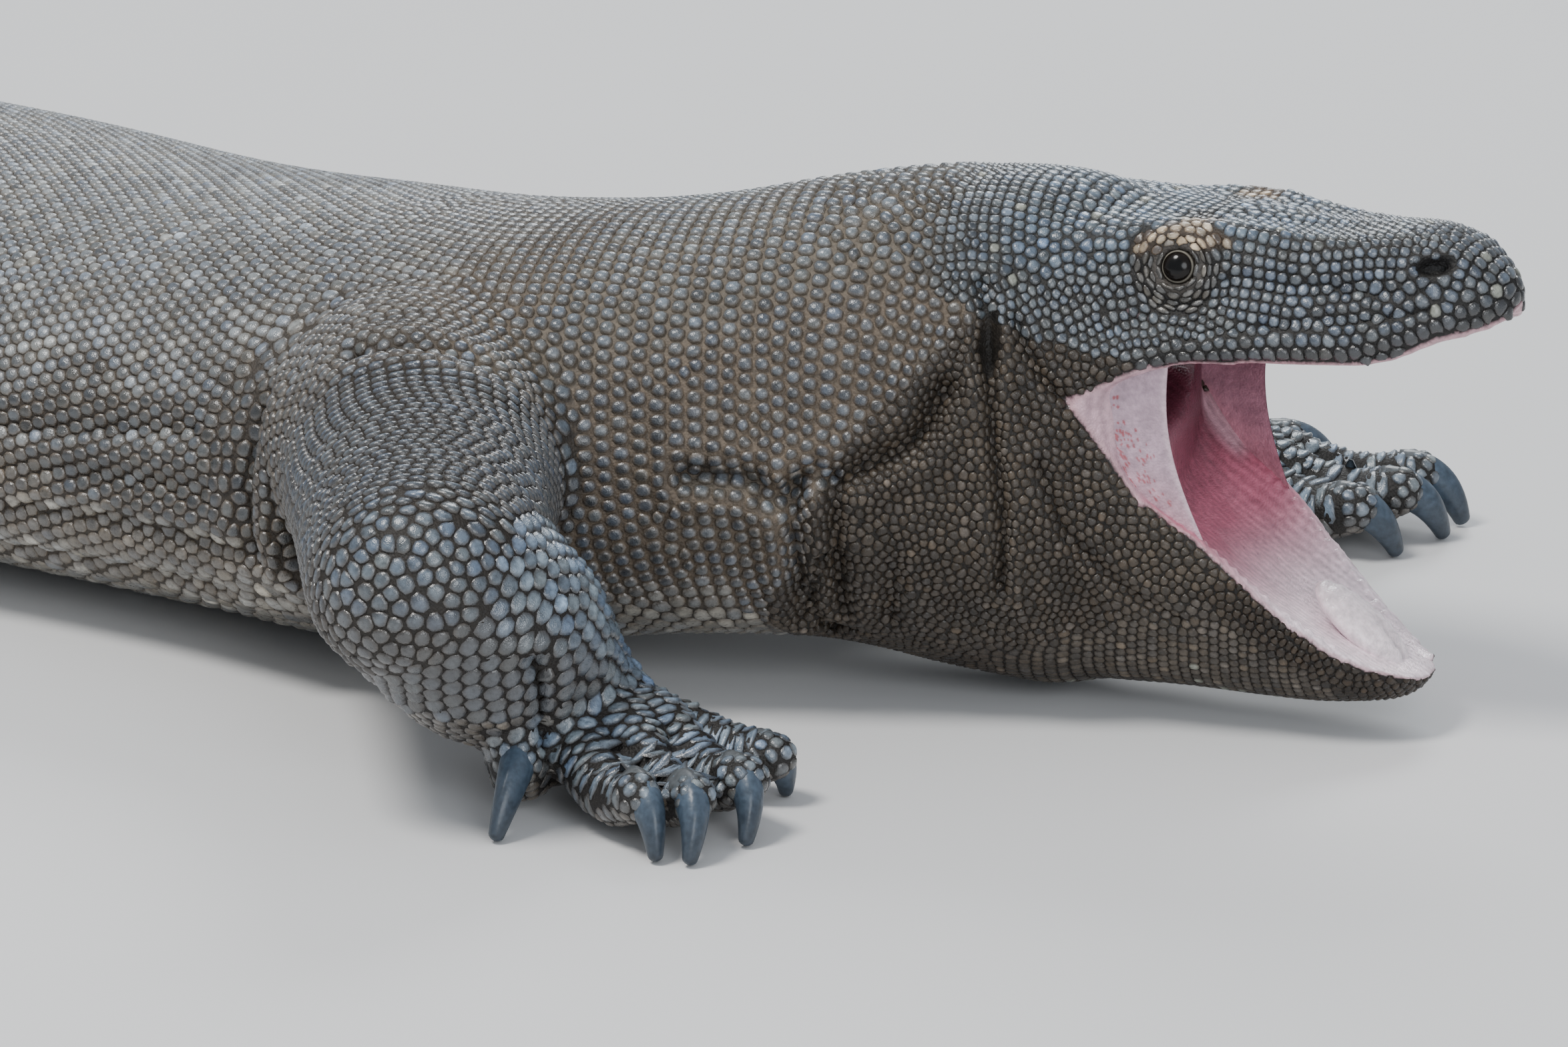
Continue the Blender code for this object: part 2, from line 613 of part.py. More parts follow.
def claw(name, points):
    """A curved cone, deeper than wide, whose root sits in the finger."""
    knuckle, root, tip = points
    ahead = root - knuckle
    ahead.z = 0
    ahead.normalize()
    tip = tip + Vector((0, 0, CLAW_TIP_RISE))
    start = root + Vector((0, 0, CLAW_ROOT_RISE)) - ahead * CLAW_ROOT
    bend = root + ahead * CLAW_ARCH[0] * (tip - root).length + Vector((0, 0, CLAW_ARCH[1]))
    rows = []
    for i in range(CLAW_RINGS + 1):
        t = i / CLAW_RINGS
        middle = (1 - t) ** 2 * start + 2 * t * (1 - t) * bend + t**2 * tip
        radius = CLAW_RADIUS * (1 - CLAW_TAPER * t**CLAW_CURVE)
        rows.append((middle, radius))
    rings = []
    turns = [2 * math.pi * k / CLAW_SIDES for k in range(CLAW_SIDES)]
    for i, (middle, radius) in enumerate(rows):
        along = (rows[min(i + 1, CLAW_RINGS)][0] - rows[max(i - 1, 0)][0]).normalized()
        side = along.cross(Vector((0, 0, 1))).normalized()
        up = side.cross(along)
        offsets = [CLAW_SQUASH * math.cos(a) * side + math.sin(a) * up for a in turns]
        rings.append([middle + radius * offset for offset in offsets])
    last, radius = rows[-1]
    beyond = (last - rows[-2][0]).normalized() * radius / 2
    rings.append([last + (p - last) * CLAW_BLUNT + beyond for p in rings[-1]])
    return loft(name, rings)


def make_foot(name, digits, radii, palm_centre, palm_half, leg, wrist, plane):
    """A hand or foot with its five digits and claws, cut off square at the wrist or ankle."""
    pieces = [digit(points, radii) for points in digits]
    pieces.append(ball("palm", Matrix.Identity(4), palm_centre, palm_half, parts))
    for points in digits[:4]:
        path = (Vector(wrist), halfway(wrist, points[0]), points[0])
        pieces.append(tube("web", path, WEB_RADII, WEB_SQUASH, sides=12))
    pieces.append(leg)
    skin = fuse(name, pieces, FOOT_VOXEL, FOOT_TRIANGLES, 3)
    claws = [claw(f"{name}_claw_{k}", points) for k, points in enumerate(digits, 1)]
    seats = [seat_for(made, CLAW_ROOM) for made in claws]
    past = box(name + "_end", facing(*plane), (-0.3, -0.3, -0.5), (0.3, 0.3, GAP / 2))
    subtract(skin, ground(), past, *seats)
    keep_largest(skin)
    finish(skin, HIDE, 0.7)
    for made in claws:
        finish(made, HORN, 0.35)
    return skin


# ------------------------------------------------------------------------- parting and naming


def ground():
    return box("ground_cut", Matrix.Identity(4), (-3, -2, -1), (2, 2, 0))


def loose_bodies(thing):
    """The separate bodies of a mesh as (volume, centre, mesh), largest first."""
    whole = bmesh.new()
    whole.from_mesh(thing.data)
    bmesh.ops.triangulate(whole, faces=whole.faces)
    unseen = set(whole.verts)
    groups = []
    while unseen:
        stack = [unseen.pop()]
        group = set(stack)
        while stack:
            for edge in stack.pop().link_edges:
                for vert in edge.verts:
                    if vert in unseen:
                        unseen.discard(vert)
                        group.add(vert)
                        stack.append(vert)
        groups.append(group)
    found = []
    for group in groups:
        order = sorted(group, key=lambda v: v.index)
        index = {vert: i for i, vert in enumerate(order)}
        faces = {face for vert in order for face in vert.link_faces}
        mesh = bpy.data.meshes.new("body")
        tuples = [tuple(index[v] for v in face.verts) for face in sorted(faces, key=lambda f: f.index)]
        mesh.from_pydata([v.co.copy() for v in order], [], tuples)
        middle = sum((v.co for v in order), Vector()) / len(order)
        shape = bmesh.new()
        shape.from_mesh(mesh)
        found.append((shape.calc_volume(signed=True), middle, mesh))
        shape.free()
    whole.free()
    return sorted(found, key=lambda body: -body[0])


def keep_largest(thing):
    thing.data = loose_bodies(thing)[0][2]


def finish(thing, colour, roughness):
    """Gives a part its own material and smooth shading."""
    thing.data.materials.clear()
    thing.data.materials.append(material(thing.name, colour, roughness))
    thing.data.shade_smooth()


def part_by_place(skin, places):
    """Turns each body of a parted skin into an object named for the nearest of the given places."""
    taken = {}
    for volume, middle, mesh in loose_bodies(skin):
        if volume < SMALLEST_BODY:
            continue
        free = [n for n in places if n not in taken]
        name = min(free, key=lambda n: (Vector(places[n][0]) - middle).length)
        made = bpy.data.objects.new(name, mesh)
        parts.objects.link(made)
        finish(made, places[name][1], 0.7)
        taken[name] = made
    bpy.data.objects.remove(skin, do_unlink=True)


def spine_frame(x):
    """The frame that stands on the ground under a place on the spine and faces along it."""
    near = Vector(spine_point(x - SPINE_STEP)[:2])
    far = Vector(spine_point(x + SPINE_STEP)[:2])
    turn = Matrix.Rotation(math.atan2(far.y - near.y, far.x - near.x), 4, "Z")
    return Matrix.Translation((x, spine_point(x)[1], 0)) @ turn


def make_body():
    pieces = [spine_body("spine")]
    for side in ("left", "right"):
        pieces += [*foreleg(side), *hindleg(side)]
    body = fuse("body_skin", pieces, BODY_VOXEL, BODY_TRIANGLES, 4)
    tools = [ground(), neck_box("neck_end", -GAP / 2, 1.0)]
    for x in SPINE_CUTS:
        reach = CUT_REACH * spine_point(x)[2]
        low = (-GAP / 2, -reach - CUT_RIGHT, -0.05)
        high = (GAP / 2, reach + CUT_LEFT, 0.3)
        tools.append(box(f"spine_cut_{x}", spine_frame(x), low, high))
    places = {}
    for side in ("left", "right"):
        arm, leg = FORELEGS[side], HINDLEGS[side]
        shoulder, elbow, wrist = arm_joints(side)
        hip, knee, ankle = leg_joints(side)
        leaves_chest = halfway(shoulder, elbow, ARM_STARTS)
        leaves_pelvis = halfway(hip, knee, THIGH_STARTS)
        tools.append(disc(f"shoulder_cut_{side}", leaves_chest, elbow - shoulder, SHOULDER_CUT))
        tools.append(disc(f"hip_cut_{side}", leaves_pelvis, knee - hip, HIP_CUT))
        tools.append(joint_cut(f"elbow_cut_{side}", shoulder, elbow, wrist, ELBOW_CUT))
        tools.append(joint_cut(f"knee_cut_{side}", hip, knee, ankle, KNEE_CUT))
        tools.append(end_box(f"wrist_{side}", *end_plane(arm, "wrist"), WRIST_CUT))
        tools.append(end_box(f"ankle_{side}", *end_plane(leg, "ankle"), ANKLE_CUT))
        places[f"upper_arm_{side}"] = (halfway(shoulder, elbow, 0.75), HIDE)
        places[f"forearm_{side}"] = (halfway(elbow, wrist, 0.5), HIDE)
        places[f"thigh_{side}"] = (halfway(hip, knee, 0.75), HIDE)
        places[f"shank_{side}"] = (halfway(knee, ankle, 0.5), HIDE)
    edges = (SPINE[0][0], *SPINE_CUTS, NECK_END)
    for name, low, high in zip(SPINE_PARTS, edges, edges[1:]):
        x, y, _, bottom, top = spine_point((low + high) / 2)
        places[name] = ((x, y, (bottom + top) / 2), HIDE)
    subtract(body, *tools)
    part_by_place(body, places)


def neck_box(name, low, high):
    """A block across the neck, from one distance ahead of the neck's end to another."""
    return box(name, spine_frame(NECK_END), (low, -NECK_BLOCK, -0.3), (high, NECK_BLOCK, 0.4))


def joint_cut(name, start, joint, stop, radius):
    """A cut through a bent joint, across the line that halves its bend."""
    direction = (joint - start).normalized() + (stop - joint).normalized()
    return disc(name, joint, direction, radius)


def end_plane(leg, end):
    """Where a forearm or shank ends: a point, and the direction from it into the hand or foot."""
    return Vector(leg[end]) + Vector((0, 0, END_RISE)), Vector(leg["cut"])


def end_box(name, at, direction, reach):
    """Takes away all of a leg past its wrist or ankle."""
    return box(name + "_cut", facing(at, direction), (-reach, -reach, -GAP / 2), (reach, reach, 0.12))


def make_feet():
    for side in ("left", "right"):
        flip = 1 if side == "left" else -1
        for name, legs, limb, end, table, radii, sole, half in (
            ("hand", FORELEGS, foreleg, "wrist", FINGERS, FINGER_RADII, PALM_AT, PALM_HALF),
            ("foot", HINDLEGS, hindleg, "ankle", TOES, TOE_RADII, SOLE_AT, SOLE_HALF),
        ):
            leg = legs[side]
            upper, lower = limb(side)
            bpy.data.objects.remove(upper, do_unlink=True)
            turn = Matrix.Rotation(math.radians(leg["turn"]), 3, "Z")
            middle = Vector((*leg[end][:2], 0)) + turn @ Vector(mirrored(sole, flip))
            if name == "hand" and side == "left":
                table = (*table[:3], FAR_FOURTH_FINGER, table[4])
            digits = digit_points(side, leg, end, table)
            plane = end_plane(leg, end)
            make_foot(f"{name}_{side}", digits, radii, middle, half, lower, Vector(leg[end]), plane)


def recentre():
    """Moves every mesh so that the origin is the middle of the footprint, on the ground."""
    corners = [v.co for item in parts.objects for v in item.data.vertices]
    low = Vector(min(c[k] for c in corners) for k in range(3))
    high = Vector(max(c[k] for c in corners) for k in range(3))
    shift = Vector(((low.x + high.x) / 2, (low.y + high.y) / 2, low.z))
    for item in list(parts.objects) + list(cutters.objects):
        item.data.transform(Matrix.Translation(-shift))


clear_scene()
parts = new_collection("komodo_dragon")
cutters = new_collection("cutters")

head_skin = make_head()
subtract(head_skin, neck_box("head_end", -0.6, GAP / 2), ground())
upper_head, lower_jaw = head_frame(SNOUT_PITCH), head_frame(JAW_PITCH)
part_by_place(
    head_skin,
    {
        "head": (upper_head @ Vector((50, 0, 50)), HIDE),
        "lower_jaw": (lower_jaw @ Vector((40, 0, -50)), HIDE),
    },
)
make_body()
make_feet()
recentre()
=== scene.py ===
"""The look of a life-size Komodo dragon: one skin under solid scales, eyes, mouth, tongue and claws.

Shapes are laid out in the same working frame as the CAD (on the ground under the shoulders, +X ahead,
+Y to the animal's left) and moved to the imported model's frame at the end, from the place of an eye.
"""

import itertools
import math

import bpy
import numpy as np
from mathutils import Matrix, Vector
from mathutils.bvhtree import BVHTree
from mathutils.kdtree import KDTree


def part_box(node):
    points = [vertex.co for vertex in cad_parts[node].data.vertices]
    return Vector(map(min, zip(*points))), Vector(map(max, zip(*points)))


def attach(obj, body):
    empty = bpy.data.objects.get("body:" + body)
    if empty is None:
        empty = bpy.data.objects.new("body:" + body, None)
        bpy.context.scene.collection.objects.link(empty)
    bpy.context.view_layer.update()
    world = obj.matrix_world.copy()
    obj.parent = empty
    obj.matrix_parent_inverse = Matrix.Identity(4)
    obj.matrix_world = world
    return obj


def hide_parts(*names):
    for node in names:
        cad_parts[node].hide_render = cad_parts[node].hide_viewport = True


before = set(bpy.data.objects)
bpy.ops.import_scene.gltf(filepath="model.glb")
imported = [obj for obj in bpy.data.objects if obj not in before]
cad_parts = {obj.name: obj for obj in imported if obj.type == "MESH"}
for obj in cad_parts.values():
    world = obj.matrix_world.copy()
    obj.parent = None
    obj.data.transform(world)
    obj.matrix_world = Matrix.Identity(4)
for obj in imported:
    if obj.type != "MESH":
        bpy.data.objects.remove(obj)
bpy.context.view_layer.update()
random = np.random.default_rng(7)

# The trunk's sections, in metres: x, y, half width, underside, top.
SPINE = (
    (-1.900, 0.205, 0.0035, 0.001, 0.009),
    (-1.860, 0.180, 0.0060, -0.002, 0.014),
    (-1.700, 0.088, 0.0110, -0.003, 0.028),
    (-1.450, -0.010, 0.0180, -0.003, 0.048),
    (-1.200, -0.052, 0.0270, -0.003, 0.070),
    (-0.980, -0.042, 0.0390, -0.003, 0.093),
    (-0.800, -0.008, 0.0560, -0.003, 0.114),
    (-0.680, 0.018, 0.0790, -0.003, 0.131),
    (-0.580, 0.036, 0.1100, -0.003, 0.142),
    (-0.460, 0.045, 0.1420, -0.004, 0.147),
    (-0.340, 0.042, 0.1560, -0.005, 0.148),
    (-0.220, 0.030, 0.1460, -0.005, 0.151),
    (-0.110, 0.014, 0.1290, -0.004, 0.164),
    (-0.020, 0.006, 0.1260, 0.000, 0.173),
    (0.060, 0.022, 0.0980, 0.015, 0.184),
    (0.120, 0.044, 0.0840, 0.016, 0.199),
    (0.170, 0.064, 0.0770, 0.006, 0.207),
    (0.215, 0.080, 0.0660, 0.006, 0.206),
    (0.242, 0.090, 0.0460, 0.060, 0.190),
)
WIDEST = 0.44  # height of the widest line of a section, as a share of its height
# The head's own frame is in millimetres from the hinge of the jaws, with x towards the snout.
HINGE = Vector((0.2257, 0.0848, 0.129))
HEAD_YAW, HEAD_ROLL = math.radians(10), math.radians(-4)
SNOUT_PITCH, JAW_PITCH = math.radians(12), math.radians(-38)
# Sections of the head and the jaw: x, then half an outline from the middle line above to the one below.
UPPER_HEAD = (
    (-62, (0, 85), (36, 79), (64, 40), (62, 10), (52, -14), (30, -24), (0, -28)),
    (-40, (0, 82), (41, 73), (66, 38), (66, 8), (58, -12), (34, -20), (0, -22)),
    (-18, (0, 77), (43, 69), (65, 34), (66, 5), (60, -8), (40, -8), (0, -6)),
    (2, (0, 73), (43, 66), (60, 31), (63.5, 9), (61, 1), (50, 2), (0, 6)),
    (22, (0, 68), (43, 63), (52, 33), (59.5, 14), (58, 6.5), (50, 6), (0, 18)),
    (45, (0, 63), (43, 60.5), (45, 33), (54.5, 17), (53, 9.5), (46, 9), (0, 25)),
    (70, (0, 59.5), (35.5, 54.5), (43, 31), (49.5, 15), (48, 7), (41, 6), (0, 23)),
    (95, (0, 53), (28, 48.5), (37, 27), (43.5, 11), (42, 3.5), (35, 2), (0, 19)),
    (120, (0, 49.5), (22.5, 45), (32.5, 25), (37.5, 11), (36, 2.5), (29, -1), (0, 15)),
    (140, (0, 46.5), (18.5, 42), (27.5, 26), (30.5, 14), (29, 7), (22, 3), (0, 15)),
    (155, (0, 38.5), (12.5, 35), (19, 25), (21.5, 17), (20, 10), (14, 4), (0, 13)),
    (164, (0, 29), (6.5, 27), (10, 22), (11.5, 18), (11, 12), (8, 6.5), (0, 11)),
    (168.5, (0, 21), (1.5, 20.5), (2.5, 19), (3, 17.5), (2.5, 16), (1.5, 14), (0, 14)),
)
LOWER_JAW = (
    (-30, (0, -4), (30, -2), (50, 6), (60, 4), (65, -12), (68, -60), (48, -118), (0, -150)),
    (0, (0, -14), (30, -11), (54, -3), (61.5, -1), (64.5, -12), (66, -55), (46, -116), (0, -149)),
    (20, (0, -24), (30, -20), (51, -9), (59, -7), (62, -16), (63, -52), (43, -110), (0, -138)),
    (42, (0, -28), (30, -24), (48, -14), (56.5, -12), (59.5, -21), (59, -50), (39, -101), (0, -124)),
    (70, (0, -26), (28, -23), (43.5, -13), (51.5, -10.5), (54, -19), (52, -45), (33, -86), (0, -103)),
    (95, (0, -24), (24, -21), (38, -14.5), (47, -12), (48.5, -19), (44, -40), (26, -69), (0, -82)),
    (120, (0, -19), (18, -17.5), (30, -15), (40.5, -13.2), (42, -19), (36, -36), (20, -54), (0, -62)),
    (140, (0, -14), (12, -13), (21, -13), (32, -11.5), (33.5, -17), (27, -30), (14, -41), (0, -45)),
    (154, (0, -9), (7, -9), (13, -10), (23, -8), (24, -13), (18, -23), (9, -29), (0, -31)),
    (162, (0, -6), (4, -6), (7, -6.5), (14, -5), (15, -9), (10.5, -16), (5, -21), (0, -22)),
    (166, (0, -6), (1.2, -6), (2, -6), (3, -6), (3.2, -8), (2.6, -11), (1.4, -13), (0, -13.5)),
)
CHEEK_THICKNESS, CHEEK_ROOT = 3.6, 3.5  # of the cheek's skin, and how far it runs into the lips
UPPER_CHEEK, LOWER_CHEEK = 40, 76  # how far each jaw's lip carries the cheek's skin
CHEEK_HOLLOW = 9  # how far the free front edge of the cheek curves back
TONGUE_AT, TONGUE_HALF = (132, 0, -11), (24, 13.5, 6.5)
EYE_AT, EYE_RADIUS = (45.6, 38.4, 44.5), 8.5
NOSTRIL_AT = (143.5, 27.5, 33.5)
BROW_AT, BROW_HALF = (45, 35, 54), (22, 8, 7)
EAR_AT = (-24, 66, 27)
# Each leg's root, bend and end.
LEG_JOINTS = {
    ("right", "fore"): ((0.000, -0.075, 0.104), (0.0935, -0.2006, 0.094), (0.114, -0.134, 0.034)),
    ("left", "fore"): ((0.000, 0.082, 0.104), (0.046, 0.238, 0.071), (0.111, 0.285, 0.022)),
    ("right", "hind"): ((-0.610, -0.045, 0.095), (-0.480, -0.215, 0.098), (-0.600, -0.262, 0.040)),
    ("left", "hind"): ((-0.605, 0.125, 0.095), (-0.610, 0.318, 0.096), (-0.728, 0.338, 0.040)),
}
FOOT_TURN = {("right", "fore"): 0, ("left", "fore"): -12, ("right", "hind"): -24, ("left", "hind"): 20}
LEG_RADII = {  # of the upper and the lower length
    "fore": ((0.062, 0.052, 0.046), (0.046, 0.047, 0.030)),
    "hind": ((0.080, 0.066, 0.049), (0.048, 0.046, 0.030)),
}
# Each digit's knuckle, claw root and claw tip, from the ground under the wrist or ankle.
FINGERS = (
    ((0.042, -0.014, 0.022), (0.076, -0.022, 0.018), (0.078, -0.031, 0.0)),
    ((0.048, 0.003, 0.026), (0.089, 0.015, 0.021), (0.101, 0.028, 0.0)),
    ((0.043, 0.019, 0.027), (0.086, 0.044, 0.021), (0.097, 0.059, 0.0)),
    ((0.029, 0.030, 0.027), (0.070, 0.053, 0.021), (0.084, 0.063, 0.0)),
    ((-0.004, 0.024, 0.028), (0.0125, 0.0510, 0.0240), (0.0205, 0.0775, 0.0)),
)
# The left forefoot's fourth finger reaches out more.
FAR_FOURTH_FINGER = ((0.031, 0.032, 0.026), (0.0746, 0.066, 0.021), (0.0886, 0.0783, 0.0))
FINGER_RADII = (0.0170, 0.0150, 0.0122)
TOES = (
    ((0.052, -0.024, 0.022), (0.088, -0.042, 0.019), (0.098, -0.049, 0.0)),
    ((0.062, -0.011, 0.025), (0.112, -0.024, 0.020), (0.124, -0.029, 0.0)),
    ((0.064, 0.003, 0.025), (0.126, -0.001, 0.020), (0.139, -0.001, 0.0)),
    ((0.058, 0.017, 0.024), (0.126, 0.025, 0.020), (0.139, 0.030, 0.0)),
    ((0.020, 0.026, 0.022), (0.060, 0.052, 0.018), (0.071, 0.062, 0.0)),
)
TOE_RADII = (0.0155, 0.0135, 0.0110)
PALM_AT, PALM_HALF = (0.018, 0.008, 0.020), (0.030, 0.028, 0.020)
SOLE_AT, SOLE_HALF = (0.022, 0.0, 0.019), (0.036, 0.030, 0.020)
CLAW_RADIUS = 0.0078
CLAW_ROOT = 0.006  # length of a claw inside its digit
TOE_REST = 0.0165  # height of a finger's or toe's middle where it lies on the ground
NAPE_FROM = 0.10  # the head's own skin takes in the neck from here
TRUNK_TO = 0.19  # the trunk's own body ends here, inside the neck
WEB_RADII = (0.024, 0.0185, 0.0135)  # of the flesh from the wrist to each knuckle
VOXEL = 0.0028  # the fused skin's grain
SCALE_DEPTH = 0.0016  # how far the skin is sunk, to leave room for its scales
EYE_OPENING = 6.6  # half the width of the gap between the lids
LID_RINGS, LID_PITCH = 4, 2.3  # rings of scales round each eye, and how far apart they stand
CHEEK_BACK = -13.0  # where the cheek's skin begins, along each jaw
# The gullet's sections, in millimetres: how far ahead, half width, half height.
GULLET = ((40, 39, 24), (30, 38, 18), (16, 36, 15), (0, 30, 13), (-20, 22, 11), (-42, 12, 8))
LIP_CORNER, LIP_SLOPE = (-2.5, 0.3), 0.84  # where the lips part, and how fast
LINING_AHEAD, LINING_AHEAD_ABOVE = 36, 26  # how far ahead the lining fills the gap between the jaws
LINING_SHARE = 0.63  # a place with more lining than this around it is lining too
FAR = 99.0  # a reach past the end of any feature
LEGS = [(side, kind) for side in ("right", "left") for kind in ("fore", "hind")]
LIMBS = ("upper_arm", "forearm", "hand", "thigh", "shank", "foot")
FLESH_NODES = ["head", "lower_jaw", "neck", "chest", "belly", "pelvis"]
FLESH_NODES += [f"tail_{part}" for part in ("base", "middle", "rear", "tip")]
FLESH_NODES += [f"{part}_{side}" for part in LIMBS for side in ("left", "right")]

# Ridges (positive) and grooves (negative) of the upper head, in millimetres: line, half width, height.
RELIEF = (
    (((-22, 44, 46), (10, 42, 55), (45, 38, 60), (72, 31, 55), (100, 27, 47), (125, 26, 43)), 4.2, 2.0),
    (((66, 40, 38), (85, 37, 34), (105, 34, 31), (122, 32, 28)), 4.5, -2.4),
    (((6, 60, 13), (35, 54, 17), (62, 48, 20), (92, 42, 20), (120, 36, 18), (140, 30, 18)), 1.9, -2.2),
    (((-20, 62, 34), (-2, 60, 28), (14, 56, 26), (30, 50, 28)), 5.0, -1.6),
    (((10, 30, 60), (45, 22, 62), (75, 14, 56), (110, 10, 49)), 8.0, -1.3),
    (((150, 20, 24), (140, 27, 24), (128, 32, 26)), 2.0, -0.8),
)

# Creases of the hide, in millimetres: points of the line, half width, depth, and the share of the depth
# by which the hide swells beside it.
CREASES = (
    (((199, 18, 176), (210, 7, 144), (215, 4, 114), (218, 5, 87), (215, 8, 59)), 2.6, 3.6, 0.5),
    (
        ((113, -57, 102), (134, -44, 101), (142, -39, 94), (153, -32, 104), (164, -26, 104), (187, -12, 118),
         (196, -3, 138)), 4.5, 4.5, 0.8,
    ),
    (((149, -34, 97), (148, -34, 79), (145, -27, 58), (137, -12, 38)), 4.0, 4.0, 0.7),
    (((162, -28, 100), (161, -27, 79), (158, -21, 58), (153, -11, 41)), 3.5, 3.0, 0.7),
    (((179, -11, 80), (176, -9, 59), (170, -1, 40)), 3.5, 2.2, 0.6),
    (((-220, -112, 82), (-180, -111, 85), (-135, -110, 92), (-86, -112, 101)), 5.0, 2.2, 0.6),
    (((-220, -108, 66), (-179, -112, 70), (-130, -112, 74), (-76, -117, 78)), 5.0, 1.8, 0.6),
    (((-200, -108, 50), (-148, -111, 55), (-99, -114, 56), (-50, -118, 57)), 4.5, 2.2, 0.6),
    (((-220, -93, 30), (-173, -96, 30), (-126, -96, 32), (-79, -102, 33)), 4.5, 1.8, 0.6),
    (((214, 18, 164), (227, 18, 144), (237, 22, 134)), 2.5, 2.0, 0.5),
    (((230, 13, 109), (238, 20, 82), (256, 31, 60), (274, 42, 47)), 3.0, 1.6, 0.5),
    (((-3, -112, 135), (4, -122, 152), (30, -112, 158), (62, -100, 148)), 5.0, 3.5, 0.7),
    (((-28, -118, 110), (-32, -121, 80), (-28, -118, 50)), 5.0, 4.5, 0.7),
    (((-48, -117, 120), (-52, -121, 90), (-50, -119, 60)), 5.0, 3.0, 0.7),
)

# Each zone's scales: colour of their tops, of their edges, size, height, how much wider than long, and tilt.
ZONES = {
    "trunk": ((0.040, 0.045, 0.048), (0.098, 0.075, 0.054), 0.0060, 0.0015, 1.0, 0.20),
    # The back's tops are lighter and bluer than the trunk's: a painted sky reflection on scales facing up.
    "back": ((0.148, 0.166, 0.182), (0.150, 0.126, 0.100), 0.0062, 0.0015, 1.0, 0.20),
    "flank": ((0.110, 0.100, 0.086), (0.120, 0.094, 0.067), 0.0058, 0.0013, 1.0, 0.20),
    "belly": ((0.245, 0.238, 0.216), (0.135, 0.112, 0.086), 0.0088, 0.0010, 1.25, 0.4),
    "tail": ((0.088, 0.092, 0.093), (0.058, 0.047, 0.036), 0.0066, 0.0014, 1.0, 0.40),
    "neck": ((0.046, 0.055, 0.066), (0.140, 0.107, 0.076), 0.0058, 0.0018, 1.0, 0.0),
    # The nape's tops are lighter and bluer than the neck's, partly a painted sky reflection where it faces
    # up; its larger, taller scales are its own.
    "nape": ((0.080, 0.098, 0.116), (0.150, 0.124, 0.094), 0.0064, 0.0024, 1.0, 0.1),
    "throat": ((0.044, 0.035, 0.027), (0.038, 0.028, 0.019), 0.0037, 0.0010, 1.0, 0.2),
    "cheek": ((0.082, 0.098, 0.115), (0.040, 0.034, 0.027), 0.0041, 0.0010, 1.15, 0.5),
    # The crown's tops are lighter and bluer, partly a painted sky reflection on the top of the head.
    "crown": ((0.102, 0.144, 0.194), (0.060, 0.058, 0.054), 0.0056, 0.0013, 1.0, 0.2),
    "snout": ((0.074, 0.092, 0.116), (0.032, 0.028, 0.024), 0.0053, 0.0012, 1.0, 0.0),
    # The lip plates are dark partly for their own tone and partly as painted shade along the upper jaw's
    # lower edge.
    "lip": ((0.026, 0.028, 0.031), (0.016, 0.013, 0.011), 0.0058, 0.0010, 1.0, 0.0),
    "jaw": ((0.030, 0.020, 0.012), (0.020, 0.013, 0.008), 0.0038, 0.0009, 1.15, 0.3),
    "chin": ((0.070, 0.058, 0.046), (0.040, 0.031, 0.023), 0.0046, 0.0009, 1.0, 0.0),
    "brow": ((0.420, 0.345, 0.250), (0.140, 0.095, 0.060), 0.0042, 0.0008, 1.3, 0.0),
    "lid": ((0.075, 0.070, 0.062), (0.014, 0.011, 0.009), 0.0046, 0.0009, 2.1, 0.2),
    "arm": ((0.080, 0.106, 0.137), (0.046, 0.034, 0.023), 0.0068, 0.0012, 1.45, 0.6),
    # The forearm's tops are lighter and bluer than the upper arm's, partly a painted sky reflection on
    # plates that face up.
    "forearm": ((0.135, 0.180, 0.232), (0.034, 0.025, 0.018), 0.0092, 0.0012, 1.45, 0.85),
    "joint": ((0.088, 0.116, 0.148), (0.044, 0.033, 0.023), 0.0066, 0.0011, 1.0, 0.0),
    "thigh": ((0.095, 0.110, 0.125), (0.056, 0.043, 0.031), 0.0074, 0.0013, 1.35, 0.5),
    "shank": ((0.110, 0.140, 0.172), (0.040, 0.030, 0.021), 0.0090, 0.0012, 1.45, 0.8),
    # The tops of the hands, cuticles and digits are lighter and bluer, partly a painted sky reflection on
    # their backs.
    "hand": ((0.195, 0.256, 0.322), (0.032, 0.025, 0.019), 0.0080, 0.0010, 1.7, 0.85),
    "palm": ((0.085, 0.074, 0.062), (0.048, 0.039, 0.031), 0.0054, 0.0008, 1.0, 0.0),
    "cuticle": ((0.150, 0.185, 0.220), (0.030, 0.025, 0.020), 0.0056, 0.0010, 1.0, 0.0),
    "digit": ((0.175, 0.228, 0.288), (0.026, 0.021, 0.017), 0.0140, 0.0008, 3.3, 0.7),
}
ZONE_NAMES = list(ZONES)
TOP, EDGE, SIZE, HEIGHT, STRETCH, TILT = (np.array([row[k] for row in ZONES.values()]) for k in range(6))
ROW_PITCH = {  # of scales laid in rows, by axis: along it and across it
    "spine": (0.0056, 0.0059),
    "head": (0.0042, 0.0044),
    "jaw": (0.0040, 0.0041),
    "digit": (0.0042, 0.0138),
    "upper": (0.0047, 0.0068),
    "lower": (0.0063, 0.0092),
}
DARTS = 200000  # random places tried for scales, once those in rows are placed
SMALLEST_IN_ROWS = 0.0039  # smaller scales than this aren't laid in rows
REAR_FROM = -0.45  # behind this, scales have fewer faces
NEAR_DOME = 9, ((1.0, -0.25), (0.90, 0.62), (0.52, 0.96))  # sides, and each ring's reach and height
REAR_DOME = 7, ((1.0, -0.25), (0.72, 0.80))
MOST_TRIANGLES = 195000  # in one piece of the coat
PATCH = 0.0014  # half width of a scale's patch on the unwrap
LOWEST = 0.0003  # everything stands on or above this height


# ------------------------------------------------------------------ arithmetic


